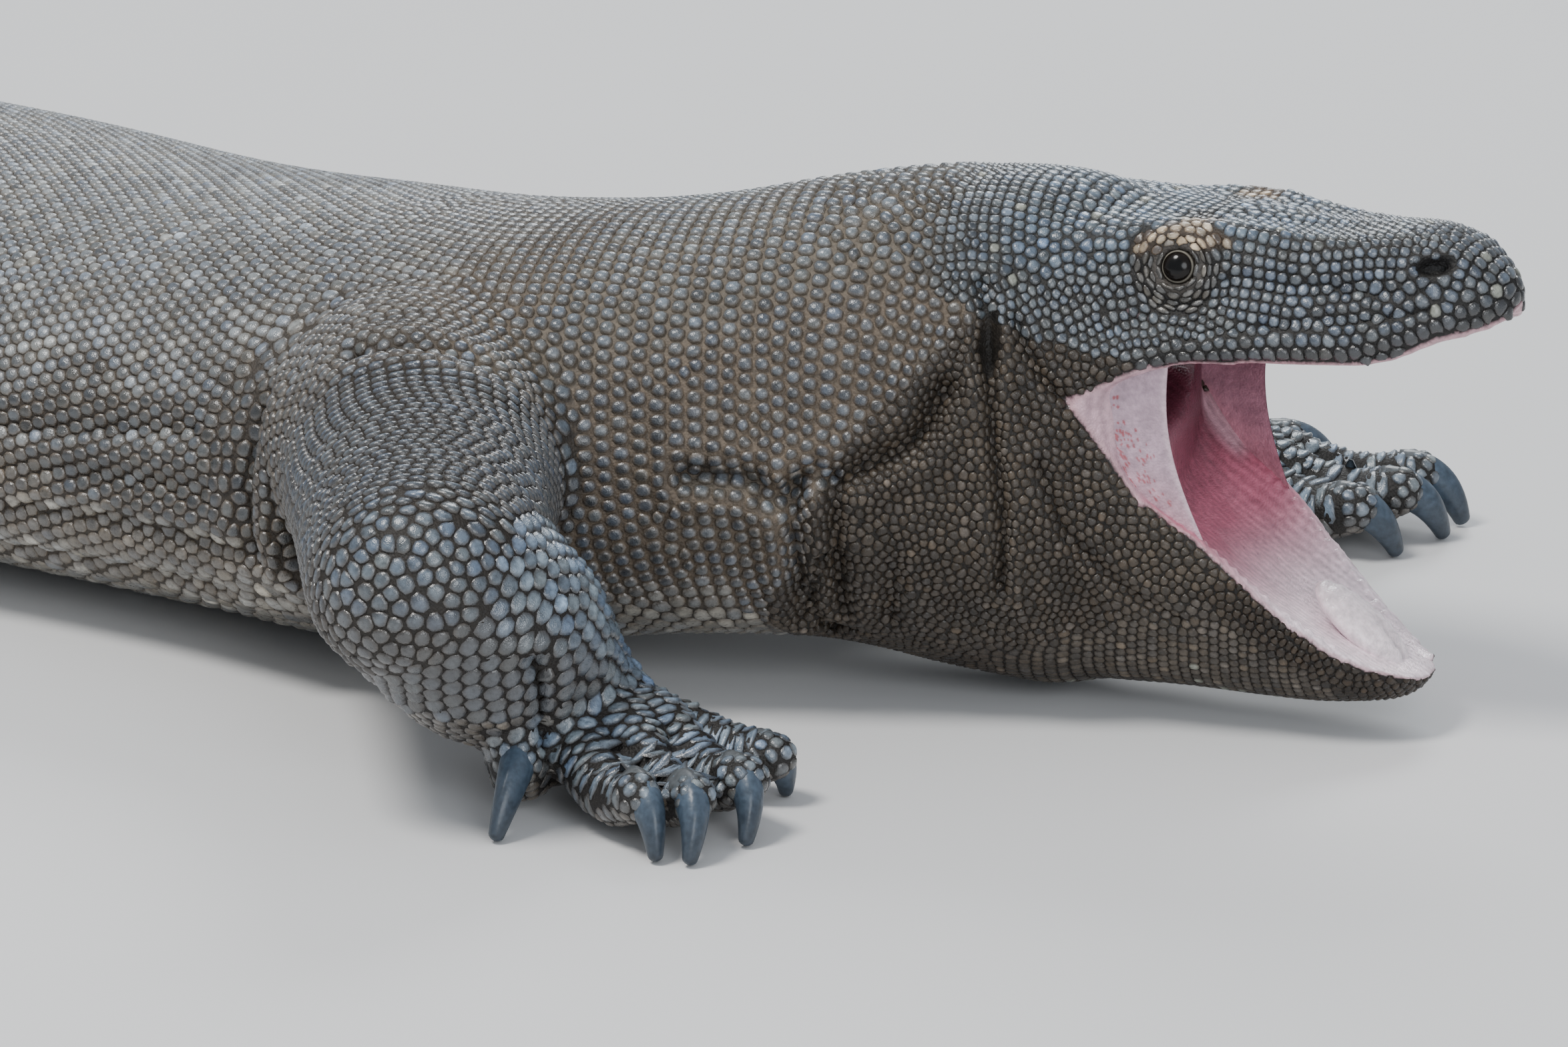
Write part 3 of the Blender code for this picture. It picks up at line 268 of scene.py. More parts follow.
def smooth_rows(rows, steps):
    """The rows of a table with `steps` rows to each interval, along a Catmull-Rom curve through them."""
    rows = np.array(rows, float)
    ends = np.vstack([2 * rows[0] - rows[1], rows, 2 * rows[-1] - rows[-2]])
    found = []
    for i in range(len(rows) - 1):
        a, b, c, d = ends[i : i + 4]
        for t in np.arange(steps) / steps:
            bent = (2 * a - 5 * b + 4 * c - d) * t**2
            twisted = (3 * b - a - 3 * c + d) * t**3
            found.append(0.5 * (2 * b + (c - a) * t + bent + twisted))
    found.append(rows[-1])
    return np.array(found)


def head_frame(pitch):
    turn = Matrix.Rotation(HEAD_YAW, 4, "Z") @ Matrix.Rotation(-pitch, 4, "Y")
    turn = turn @ Matrix.Rotation(HEAD_ROLL, 4, "X")
    return Matrix.Translation(HINGE) @ turn @ Matrix.Scale(0.001, 4)


def mirrored(point, side):
    """A place of the head or of a foot, on the animal's right (-1) or left (1)."""
    return np.array((point[0], side * point[1], point[2]))


def halfway(a, b, share=0.5):
    return Vector(a).lerp(Vector(b), share)


def local(matrix, points):
    """Points carried by a 4 x 4 matrix."""
    matrix = np.array(matrix)
    return points @ matrix[:3, :3].T + matrix[:3, 3]


def unit(vectors):
    return vectors / np.maximum(np.linalg.norm(vectors, axis=-1, keepdims=True), 1e-12)


def dot(a, b):
    return (a * b).sum(-1)


def flat_to(vectors, normals):
    """Unit vectors square to the normals, nearest to the vectors."""
    return unit(vectors - normals * dot(vectors, normals)[..., None])


def ramp(value, start, stop):
    """0 before start, 1 after stop, smooth between them."""
    t = np.clip((value - start) / (stop - start), 0, 1)
    return t * t * (3 - 2 * t)


def bell(value, middle, width):
    """1 at the middle, and less on both sides of it."""
    return np.exp(-(((value - middle) / width) ** 2))


def blend(colours, other, share):
    """Colours with a share of another laid over them."""
    return colours + (np.array(other) - colours) * share[:, None]


def hash_noise(points, size, seed=0):
    """Smooth value noise in space, from 0 to 1."""
    p = np.asarray(points) / size + 100.0
    i = np.floor(p).astype(np.int64)
    f = p - i
    f = f * f * (3 - 2 * f)
    total = 0
    for dx, dy, dz in itertools.product((0, 1), repeat=3):
        n = (i[:, 0] + dx) * 73856093 ^ (i[:, 1] + dy) * 19349663 ^ (i[:, 2] + dz) * 83492791
        n = ((n ^ seed * 2654435) * 1103515245 + 12345) & 0x7FFFFFFF
        n = (n ^ (n >> 13)) * 1274126177 & 0x7FFFFFFF
        value = (n % 100003) / 100003
        for k, far in enumerate((dx, dy, dz)):
            value = value * (f[:, k] if far else 1 - f[:, k])
        total = total + value
    return total


def round_ways(count):
    """Evenly spaced angles of a whole turn."""
    return 2 * np.pi * np.arange(count) / count


upper, lower = head_frame(SNOUT_PITCH), head_frame(JAW_PITCH)
middle = head_frame((SNOUT_PITCH + JAW_PITCH) / 2)  # half-way between the jaws
upper_in, lower_in, middle_in = (np.array(matrix.inverted()) for matrix in (upper, lower, middle))
eye_low, eye_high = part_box("eye_right")
SHIFT = (np.array(eye_low) + np.array(eye_high)) / 2 - np.array(upper @ Vector(mirrored(EYE_AT, -1)))


# ------------------------------------------------------------------ meshes


def mesh_of(name, points, faces, sizes=None):
    """A mesh from points and faces, as one array of corners with the faces' sizes or as an (n, k) array."""
    faces = np.asarray(faces)
    if sizes is None:
        sizes = np.full(len(faces), faces.shape[1])
        faces = faces.reshape(-1)
    mesh = bpy.data.meshes.new(name)
    mesh.vertices.add(len(points))
    mesh.vertices.foreach_set("co", np.ascontiguousarray(points, np.float32).reshape(-1))
    mesh.loops.add(len(faces))
    mesh.loops.foreach_set("vertex_index", np.ascontiguousarray(faces, np.int32))
    mesh.polygons.add(len(sizes))
    starts = np.concatenate([[0], np.cumsum(sizes)[:-1]])
    mesh.polygons.foreach_set("loop_start", starts.astype(np.int32))
    mesh.polygons.foreach_set("loop_total", np.asarray(sizes, np.int32))
    mesh.update(calc_edges=True)
    mesh.validate()
    return mesh


def piece(name, points, faces, shader, replaced=(), sizes=None):
    """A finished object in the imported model's frame, that rides on the one body."""
    mesh = mesh_of(name, np.asarray(points) + SHIFT, faces, sizes)
    mesh.shade_smooth()
    mesh.materials.append(shader)
    made = bpy.data.objects.new(name, mesh)
    bpy.context.scene.collection.objects.link(made)
    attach(made, "root")
    if replaced:
        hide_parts(*replaced)
    return made


def colour_points(mesh, name, colours):
    rgba = np.ones((len(colours), 4), np.float32)
    rgba[:, :3] = colours
    layer = mesh.color_attributes.new(name, "FLOAT_COLOR", "POINT")
    layer.data.foreach_set("color", rgba.reshape(-1))


def loft(rings):
    """Points and faces of a closed body through rings of points."""
    rings = np.array([[tuple(p) for p in ring] for ring in rings])
    count, sides = rings.shape[:2]
    i, j = np.meshgrid(np.arange(count - 1), np.arange(sides), indexing="ij")
    k = (j + 1) % sides
    quads = [i * sides + j, i * sides + k, (i + 1) * sides + k, (i + 1) * sides + j]
    quads = np.stack(quads, -1).reshape(-1, 4)
    points = rings.reshape(-1, 3)
    first, last = len(points), len(points) + 1
    points = np.vstack([points, rings[0].mean(0), rings[-1].mean(0)])
    j = np.arange(sides)
    k = (j + 1) % sides
    fans = [(first, b, a) for a, b in zip(j, k)]
    fans += [(last, (count - 1) * sides + a, (count - 1) * sides + b) for a, b in zip(j, k)]
    tris = np.concatenate([quads[:, [0, 1, 2]], quads[:, [0, 2, 3]], np.array(fans)])
    a, b, c = (points[tris[:, k]] for k in range(3))
    return points, tris if dot(a, np.cross(b, c)).sum() > 0 else tris[:, ::-1]


def scratch(name, body):
    made = bpy.data.objects.new(name, mesh_of(name, *body))
    bpy.context.scene.collection.objects.link(made)
    return made


def evaluated(thing):
    bpy.context.view_layer.update()
    return bpy.data.meshes.new_from_object(thing.evaluated_get(bpy.context.evaluated_depsgraph_get()))


def drop(*things):
    for thing in things:
        bpy.data.objects.remove(thing, do_unlink=True)


def read_numbers(items, name, size, kind):
    """One attribute of every item of a mesh, as rows."""
    found = np.empty(len(items) * size, kind)
    items.foreach_get(name, found)
    return found.reshape(-1, size)


def triangles(quads):
    """The triangles of quads, without those that a doubled corner leaves empty."""
    tris = np.concatenate([quads[:, [0, 1, 2]], quads[:, [0, 2, 3]]])
    return tris[(tris[:, 0] != tris[:, 2]) & (tris[:, 1] != tris[:, 2]) & (tris[:, 0] != tris[:, 1])]


def neighbours(points, count):
    """The indices of the points nearest to each point."""
    listed = points.tolist()
    tree = KDTree(len(listed))
    for i, p in enumerate(listed):
        tree.insert(p, i)
    tree.balance()
    return np.array([[index for _, index, _ in tree.find_n(p, count + 1)] for p in listed])[:, 1:]


# ------------------------------------------------------------------ the animal's bodies


SPINE_ROWS = smooth_rows(SPINE, 8)


def spine_frame(rows):
    """Sideways directions of rows of the spine."""
    ahead = np.gradient(rows[:, :2], axis=0)
    ahead /= np.linalg.norm(ahead, axis=1, keepdims=True)
    return np.stack([-ahead[:, 1], ahead[:, 0], np.zeros(len(rows))], 1)


def spine_rings(rows, sides=64):
    """Sections of the trunk: rounded above, flatter and fuller below the widest line."""
    side = spine_frame(rows)
    c, s = (np.sign(f) * np.abs(f) ** 0.95 for f in (np.cos(round_ways(sides)), np.sin(round_ways(sides))))
    middles = rows[:, 3] + WIDEST * (rows[:, 4] - rows[:, 3])
    reach = np.where(s > 0, (rows[:, 4] - middles)[:, None], (middles - rows[:, 3])[:, None])
    rings = rows[:, None, :3] * np.array([1, 1, 0]) + side[:, None, :] * (rows[:, 2, None] * c)[..., None]
    rings[..., 2] = middles[:, None] + reach * s
    return rings


def jaw_rings(stations, matrix):
    """Sections of the head or the jaw, mirrored from the half outlines."""
    flat = [[x, *(number for point in outline for number in point)] for x, *outline in stations]
    rings = []
    for row in smooth_rows(flat, 5):
        half = smooth_rows(row[1:].reshape(-1, 2), 4)
        half[0, 0] = half[-1, 0] = 0
        ring = [(row[0], y, z) for y, z in half] + [(row[0], -y, z) for y, z in half[-2:0:-1]]
        rings.append(local(matrix, np.array(ring)))
    return rings


def tube_rows(centres, radii, steps=8):
    return smooth_rows([[*c, r] for c, r in zip(centres, radii)], steps)


def tube_rings(centres, radii, squash=1.0, sides=32):
    """A limb through joints, with rounded ends."""
    rows = tube_rows(centres, radii)
    start, stop = unit(rows[0, :3] - rows[1, :3]), unit(rows[-1, :3] - rows[-2, :3])
    caps = ((0.97, 0.25), (0.85, 0.53), (0.6, 0.8), (0.3, 0.95))
    near = [(*(rows[0, :3] + start * rows[0, 3] * far), rows[0, 3] * wide) for far, wide in caps]
    end = [(*(rows[-1, :3] + stop * rows[-1, 3] * far), rows[-1, 3] * wide) for far, wide in reversed(caps)]
    path = np.vstack([near, rows, end])
    along = unit(np.gradient(path[:, :3], axis=0))
    side = unit(np.cross(along, (0, 0, 1)))
    top = np.cross(side, along)
    turns = round_ways(sides)[None, :, None]
    offset = np.cos(turns) * side[:, None] + squash * np.sin(turns) * top[:, None]
    return path[:, None, :3] + path[:, 3, None, None] * offset


def ball_rings(centre, half, matrix=Matrix(), count=14, sides=28):
    """Sections of an egg shape with its long axis ahead."""
    turns = round_ways(sides)
    flat = np.stack([0 * turns, np.cos(turns), np.sin(turns)], 1)
    rings = []
    for i in range(1, count):
        a = math.pi * i / count
        ring = math.sin(a) * flat - np.array((math.cos(a), 0, 0))
        rings.append(local(matrix, ring * np.array(half) + np.array(centre)))
    return rings


def leg_joints(side, kind):
    """The places of a leg's root, bend and end."""
    return [Vector(place) for place in LEG_JOINTS[side, kind]]


def leg_tubes(side, kind):
    """The centres and radii of a leg's upper and lower lengths."""
    root, bend, end = leg_joints(side, kind)
    radii = LEG_RADII[kind]
    return ((root, halfway(root, bend), bend), radii[0]), ((bend, halfway(bend, end), end), radii[1])


def on_foot(side, kind, point):
    """A place of a hand or foot, turned about the ground under its wrist or ankle."""
    turn = Matrix.Rotation(math.radians(FOOT_TURN[side, kind]), 3, "Z")
    under = Vector((*LEG_JOINTS[side, kind][2][:2], 0))
    return under + turn @ Vector(mirrored(point, 1 if side == "left" else -1))


def digits_of(side, kind):
    """Each digit's knuckle, claw root and claw tip."""
    table = FINGERS if kind == "fore" else TOES
    if (side, kind) == ("left", "fore"):
        table = (*FINGERS[:3], FAR_FOURTH_FINGER, FINGERS[4])
    return [[on_foot(side, kind, point) for point in points] for points in table]


def digit_tube(points, kind):
    knuckle, root, _ = points
    ahead = (root - knuckle).normalized()
    bend = halfway(knuckle, root, 0.5)
    bend.z = TOE_REST
    radii = FINGER_RADII if kind == "fore" else TOE_RADII
    return (knuckle - ahead * 0.012, bend, root + ahead * 0.001), radii


def head_body():
    """The head and the jaw, joined through the nape, with the gullet cut in."""
    sections = []
    for x, half, rise in GULLET:
        ways = round_ways(32)
        ring = np.stack([x + 0 * ways, half * np.cos(ways), rise * np.sin(ways)], 1)
        sections.append(local(middle, ring))
    nape = SPINE_ROWS[SPINE_ROWS[:, 0] > NAPE_FROM]
    made = scratch("upper", loft(jaw_rings(UPPER_HEAD, upper)))
    others = [scratch("lower", loft(jaw_rings(LOWER_JAW, lower)))]
    others += [scratch("nape", loft(spine_rings(nape))), scratch("gullet", loft(sections))]
    for other, how in zip(others, ("UNION", "UNION", "DIFFERENCE")):
        step = made.modifiers.new(how, "BOOLEAN")
        step.operation = how
        step.solver = "EXACT"
        step.object = other
    mesh = evaluated(made)
    drop(made, *others)
    mesh.calc_loop_triangles()
    corners = read_numbers(mesh.loop_triangles, "vertices", 3, np.int32)
    return read_numbers(mesh.vertices, "co", 3, np.float32), corners


def foot_bodies(side, kind):
    """The palm or sole, the digits, and the webs at their roots."""
    end = leg_joints(side, kind)[2]
    digits = digits_of(side, kind)
    for points in digits:
        yield tube_rings(*digit_tube(points, kind), 0.92, sides=20)
    for points in digits[:4]:
        yield tube_rings((end, halfway(end, points[0]), points[0]), WEB_RADII, 0.85, sides=20)
    at, half = (PALM_AT, PALM_HALF) if kind == "fore" else (SOLE_AT, SOLE_HALF)
    yield ball_rings(on_foot(side, kind, at), half)


def flesh():
    """The fused skin's points and quads, before any detail."""
    rings = [spine_rings(SPINE_ROWS[SPINE_ROWS[:, 0] < TRUNK_TO])]
    rings += [ball_rings(mirrored(BROW_AT, side), BROW_HALF, upper) for side in (-1, 1)]
    for side in ("left", "right"):
        for kind in ("fore", "hind"):
            squash = 0.95 if kind == "fore" else 0.92
            rings += [tube_rings(centres, radii, squash) for centres, radii in leg_tubes(side, kind)]
            rings += foot_bodies(side, kind)
    points, tris = [], []
    count = 0
    for body, faces in (head_body(), *(loft(r) for r in rings)):
        points.append(body)
        tris.append(faces + count)
        count += len(body)
    whole = scratch("whole", (np.vstack(points), np.vstack(tris)))
    fuse = whole.modifiers.new("Fuse", "REMESH")
    fuse.mode = "VOXEL"
    fuse.voxel_size = VOXEL
    fused = evaluated(whole)
    drop(whole)
    points = read_numbers(fused.vertices, "co", 3, np.float32).astype(float)
    corners = read_numbers(fused.loops, "vertex_index", 1, np.int32).reshape(-1, 4)
    bpy.data.meshes.remove(fused)
    return points, corners


class Surface:
    """A mesh of quads, or of triangles as quads with a doubled corner, that can be smoothed and sculpted."""

    def __init__(self, points, quads):
        self.points, self.quads = points, quads
        self.link()

    def link(self):
        q = self.quads
        pairs = np.concatenate([q[:, [0, 1]], q[:, [1, 2]], q[:, [2, 3]], q[:, [3, 0]]])
        pairs = np.sort(pairs[pairs[:, 0] != pairs[:, 1]], 1).astype(np.int64)
        keys = np.unique(pairs[:, 0] * len(self.points) + pairs[:, 1])
        first, second = keys // len(self.points), keys % len(self.points)
        self.a = np.concatenate([first, second])
        self.b = np.concatenate([second, first])
        self.degree = np.maximum(np.bincount(self.a, minlength=len(self.points)), 1)

    def mean(self, values):
        """The mean of each point's neighbours."""
        n = len(self.points)
        if values.ndim == 1:
            return np.bincount(self.a, weights=values[self.b], minlength=n) / self.degree
        columns = [np.bincount(self.a, weights=column[self.b], minlength=n) for column in values.T]
        return np.stack(columns, 1) / self.degree[:, None]

    def relax(self, weight, steps):
        for _ in range(steps):
            self.points += weight[:, None] * (self.mean(self.points) - self.points)

    def normals(self):
        p, q = self.points, self.quads
        face = np.cross(p[q[:, 2]] - p[q[:, 0]], p[q[:, 3]] - p[q[:, 1]])
        total = np.zeros_like(p)
        for k in range(3):
            total[:, k] = sum(np.bincount(q[:, c], weights=face[:, k], minlength=len(p)) for c in range(4))
        return unit(total)

    def split(self, chosen):
        """Each chosen quad becomes four, and the quads beside them become fans that meet them."""
        q, n = self.quads, len(self.points)
        ends = np.stack([q, np.roll(q, -1, 1)], -1).astype(np.int64)
        keys = ends.min(-1) * n + ends.max(-1)
        cut = np.unique(keys[chosen])
        where = np.searchsorted(cut, keys)
        where[where == len(cut)] = 0
        hit = cut[where] == keys
        middles = (self.points[cut // n] + self.points[cut % n]) / 2
        centres = self.points[q[chosen]].mean(1)
        mid = np.where(hit, n + where, -1)
        core = n + len(cut) + np.arange(len(centres))
        own, edge = q[chosen], mid[chosen]
        fine = [np.stack([own[:, k], edge[:, k], core, edge[:, k - 1]], 1) for k in range(4)]
        beside = ~chosen & hit.any(1)
        fans, extra = [], []
        for i in np.nonzero(beside)[0]:
            loop = []
            for k in range(4):
                loop.append(q[i, k])
                if mid[i, k] >= 0:
                    loop.append(mid[i, k])
            hub = n + len(cut) + len(centres) + len(extra)
            extra.append(self.points[q[i]].mean(0))
            fans += [(a, b, hub, hub) for a, b in zip(loop, loop[1:] + loop[:1])]
        whole = ~chosen & ~beside
        self.quads = np.concatenate([q[whole], *fine, np.array(fans, q.dtype).reshape(-1, 4)])
        self.points = np.vstack([self.points, middles, centres, np.array(extra).reshape(-1, 3)])
        self.link()

    def corners(self):
        """The corners and sizes of the faces, triangles included."""
        tri = self.quads[:, 2] == self.quads[:, 3]
        flat = np.concatenate([self.quads[~tri].reshape(-1), self.quads[tri][:, :3].reshape(-1)])
        return flat, np.concatenate([np.full((~tri).sum(), 4), np.full(tri.sum(), 3)])


# ------------------------------------------------------------------ regions: axes, rows and the unwrap


class Axis:
    """A line through a length of the body, that gives its scales rows, a lie and an unwrap."""

    def __init__(self, name, rows, side, chart):
        self.name, self.centre, self.radius, self.chart = name, rows[:, :3], rows[:, 3], chart
        self.along = unit(np.gradient(self.centre, axis=0))
        self.side = flat_to(side, self.along)
        self.top = np.cross(self.along, self.side)
        steps = np.linalg.norm(np.diff(self.centre, axis=0), axis=1)
        self.length = np.concatenate([[0], np.cumsum(steps)])

    def at(self, s):
        """Centre, along, side, top and radius at a distance along the axis."""
        fields = (self.centre, self.along, self.side, self.top)
        found = [np.stack([np.interp(s, self.length, f[:, k]) for k in range(3)], -1) for f in fields]
        return (*found, np.interp(s, self.length, self.radius))


def tube_axis(name, centres, radii, chart):
    rows = tube_rows(centres, radii)
    return Axis(name, rows, np.cross(unit(np.gradient(rows[:, :3], axis=0)), (0, 0, 1)), chart)


def make_axes():
    """Every axis, with its place and scale on the unwrap."""
    rows = SPINE_ROWS[SPINE_ROWS[:, 0] < 0.20]
    tall = rows[:, 4] - rows[:, 3]
    line = np.stack([rows[:, 0], rows[:, 1], rows[:, 3] + WIDEST * tall, (rows[:, 2] + tall / 2) / 2], 1)
    made = [Axis("spine", line, spine_frame(rows), (0.02, 0.02, 0.43))]
    jaws = (("head", UPPER_HEAD, upper, 0.02), ("jaw", LOWER_JAW, lower, 0.20))
    for name, stations, matrix, start in jaws:
        x = np.array([row[0] for row in stations], float)
        z = np.array([(row[1][1] + row[-1][1]) / 2 for row in stations], float)
        half = np.array([max(p[0] for p in row[1:]) for row in stations], float)
        line = np.column_stack([local(matrix, np.stack([x, 0 * x, z], 1)), half / 1000])
        side = np.array(matrix)[:3, 1] * np.ones((len(x), 1))
        made.append(Axis(name, line, side, (start, 0.44, 0.60)))
    count = 0
    for side, kind in LEGS:
        for label, (centres, radii) in zip(("upper", "lower"), leg_tubes(side, kind)):
            chart = (0.36 + 0.105 * (count % 6), 0.44 + 0.18 * (count // 6), 0.44)
            made.append(tube_axis(f"{kind}_{label}_{side}", centres, radii, chart))
            count += 1
    for leg, (side, kind) in enumerate(LEGS):
        for k, points in enumerate(digits_of(side, kind)):
            chart = (0.02 + 0.24 * leg + 0.045 * k, 0.86, 0.75)
            made.append(tube_axis(f"{kind}_digit{k}_{side}", *digit_tube(points, kind), chart))
    return made


def nearest_axis(axes, points):
    """For each point: the axis whose surface is nearest, and the distance along it."""
    best = np.full(len(points), np.inf)
    which = np.zeros(len(points), int)
    s = np.zeros(len(points))
    for n, axis in enumerate(axes):
        low = axis.centre.min(0) - axis.radius.max() * 2.2
        high = axis.centre.max(0) + axis.radius.max() * 2.2
        near = np.nonzero(((points > low) & (points < high)).all(1))[0]
        for part in np.array_split(near, max(1, len(near) // 20000)):
            if len(part) == 0:
                continue
            gap = np.linalg.norm(points[part, None] - axis.centre[None], axis=2) - axis.radius[None]
            pick = gap.argmin(1)
            value = gap[np.arange(len(part)), pick]
            better = value < best[part]
            index = part[better]
            best[index] = value[better]
            which[index] = n
            s[index] = axis.length[pick[better]]
    return which, s


# ------------------------------------------------------------------ sculpting the skin


def lip_at(x, table, spot, column):
    """A coordinate of a jaw's lip at places along it."""
    rows = smooth_rows([[row[0], *row[1:][spot]] for row in table], 6)
    rows = rows[np.argsort(rows[:, 0])]
    return np.interp(x, rows[:, 0], rows[:, column])


def line_distance(points, line):
    """Distance of points from a smooth line through a few places."""
    line = smooth_rows(line, 8)
    best = np.full(len(points), np.inf)
    near = np.nonzero(((points > line.min(0) - 0.03) & (points < line.max(0) + 0.03)).all(1))[0]
    if len(near):
        best[near] = np.linalg.norm(points[near, None] - line[None], axis=2).min(1)
    return best


def eye_axis(side):
    """Outward direction of an eye in the upper head's frame."""
    return unit(np.array([0.16, side * 1.0, 0.20]))


def eye_reach(u, side):
    """How far points of the head are from an eye's axis, in millimetres."""
    rel = u - mirrored(EYE_AT, side)
    flat = np.linalg.norm(rel - eye_axis(side) * (rel @ eye_axis(side))[:, None], axis=1)
    return np.where(np.linalg.norm(rel, axis=1) < 26, flat, FAR)


def nostril_reach(u, side):
    """How far points of the head are from a nostril, as a share of its half width."""
    rel = u - mirrored(NOSTRIL_AT, side)
    reach = np.hypot((rel[:, 0] + 0.35 * rel[:, 2]) / 7.0, rel[:, 2] / 3.4)
    return np.where(u[:, 1] * side > 0, reach, FAR)


def ear_reach(u, side):
    """How far points of the head are from an ear, as a share of its half width."""
    rel = u - mirrored(EAR_AT, side)
    reach = np.hypot((rel[:, 0] - 0.12 * rel[:, 2]) / 4.5, rel[:, 2] / 15)
    return np.where((u[:, 1] * side > 0) & (abs(rel[:, 1]) < 25), reach, FAR)


def mouth_mask(surface):
    """1 on the lining of the mouth, 0 on the hide, and smooth between them."""
    points, normals = surface.points, surface.normals()
    tree = BVHTree.FromPolygons(points.tolist(), triangles(surface.quads).tolist())
    m = local(middle_in, points)
    ahead, rise = m[:, 0] - LIP_CORNER[0], m[:, 2] - LIP_CORNER[1]
    gap = (ahead > 0) & (abs(rise) < ahead * LIP_SLOPE) & (abs(m[:, 1]) < 90)
    gap &= m[:, 0] < np.where(rise > 0, LINING_AHEAD_ABOVE, LINING_AHEAD)
    gullet = (m[:, 0] > -62) & (m[:, 0] < 70) & (abs(m[:, 2]) < 40)
    gullet &= abs(m[:, 1]) < 53 - 0.10 * np.maximum(m[:, 0], 0)
    mouth = (gap | gullet) * 1.0
    near = (m[:, 0] > -50) & (m[:, 0] < 175) & (abs(m[:, 1]) < 66) & (abs(m[:, 2]) < 90) & (mouth == 0)
    near = np.nonzero(near)[0]
    x = np.clip(m[near, 0], -36, 150)
    to = local(middle, np.stack([x, 0 * x, 0 * x], 1)) - points[near]
    far = np.linalg.norm(to, axis=1)
    to /= far[:, None]
    facing = dot(to, normals[near]) > 0.12
    for i, way, reach in zip(near[facing], to[facing], far[facing]):
        hit = tree.ray_cast(Vector(points[i] + normals[i] * 0.0015), Vector(way), reach - 0.002)
        mouth[i] = hit[0] is None
    broad = mouth
    for _ in range(60):
        broad = surface.mean(broad)
    mouth = np.where(broad > LINING_SHARE, 1.0, mouth)
    for _ in range(3):
        mouth = 0.5 * mouth + 0.5 * surface.mean(mouth)
    return ramp(mouth, 0.35, 0.65)


def detail_masks(p, u):
    """Where the head is, where the hands and feet are, and where smoothing would lose shape."""
    head = (1 - ramp(-u[:, 0], 20, 60)) * (np.linalg.norm(p - np.array(HINGE), axis=1) < 0.25)
    hands = np.zeros(len(p))
    for leg in LEGS:
        reach = np.linalg.norm((p - np.array(leg_joints(*leg)[2])) * (1, 1, 0), axis=1)
        hands = np.maximum(hands, (1 - ramp(reach, 0.10, 0.16)) * (p[:, 2] < 0.09))
    hands *= 1 - head
    return head, hands, np.maximum(np.maximum(head, hands), ramp(-p[:, 0], 1.5, 1.75))


def digit_gaps(points):
    """How nearly each point lies between two digits, and how far it is along its own."""
    first, second = np.full(len(points), 1.0), np.full(len(points), 1.0)
    along = np.zeros(len(points))
    for side, kind in LEGS:
        end = leg_joints(side, kind)[2]
        near = np.nonzero(np.linalg.norm((points - np.array(end)) * (1, 1, 0), axis=1) < 0.15)[0]
        for digit in digits_of(side, kind):
            centres, radii = digit_tube(digit, kind)
            rows = tube_rows((Vector(end), *centres), (0.03, *radii))
            gap = np.linalg.norm(points[near, None] - rows[None, :, :3], axis=2)
            pick = gap.argmin(1)
            value = gap.min(1) - rows[pick, 3]
            closer = value < first[near]
            second[near] = np.where(closer, first[near], np.minimum(second[near], value))
            steps = np.linalg.norm(np.diff(rows[:, :3], axis=0), axis=1)
            length = np.concatenate([[0], np.cumsum(steps)])
            along[near] = np.where(closer, length[pick] - 0.5 * length[-1], along[near])
            first[near] = np.where(closer, value, first[near])
    return second - first, along


def line_relief(lift, p, u, mouth):
    """The lift with the creases of the hide and the ridges and grooves of the head worked in."""
    for line, width, deep, swell in CREASES:
        width, deep = width / 1000, deep / 1000
        d = line_distance(p, np.array(line) / 1000)
        lift -= 1.5 * deep * bell(d, 0, width)
        lift += 0.8 * swell * deep * bell(d, 2.3 * width, 1.3 * width)
    either = u * np.array([1, 0, 1]) + np.abs(u) * np.array([0, 1, 0])
    for line, width, height in RELIEF:
        d = line_distance(either / 1000, np.array(line) / 1000) * 1000
        lift += 0.001 * height * bell(d, 0, width) * (1 - mouth)
    return lift


def gum_beads(p, mouth):
    """The lift of a row of beads inside the lower lip."""
    v = local(lower_in, p)
    rim = lip_at(v[:, 0], LOWER_JAW, 3, 1) - abs(v[:, 1])
    beads = bell(rim, 6.0, 2.2) * ramp(v[:, 0], 50, 62) * (1 - ramp(v[:, 0], 128, 140)) * (mouth > 0.5)
    beads *= v[:, 2] > lip_at(v[:, 0], LOWER_JAW, 3, 2) - 9
    return 0.0013 * beads * np.sin(v[:, 0] * np.pi / 5.2) ** 2


def paw_grooves(lift, p, hands):
    """The lift with grooves between the digits, and shallow rings round each."""
    gap, along = digit_gaps(p)
    paws = (hands > 0.2) & (p[:, 2] < 0.07)
    lift -= np.where(paws, 0.0058 * bell(gap, 0, 0.0038) * ramp(along, -0.010, 0.012), 0)
    ringed = paws & (along > 0.006)
    return lift - np.where(ringed, 0.0010 * (0.5 + 0.5 * np.cos(along * 2 * np.pi / 0.0084)), 0)


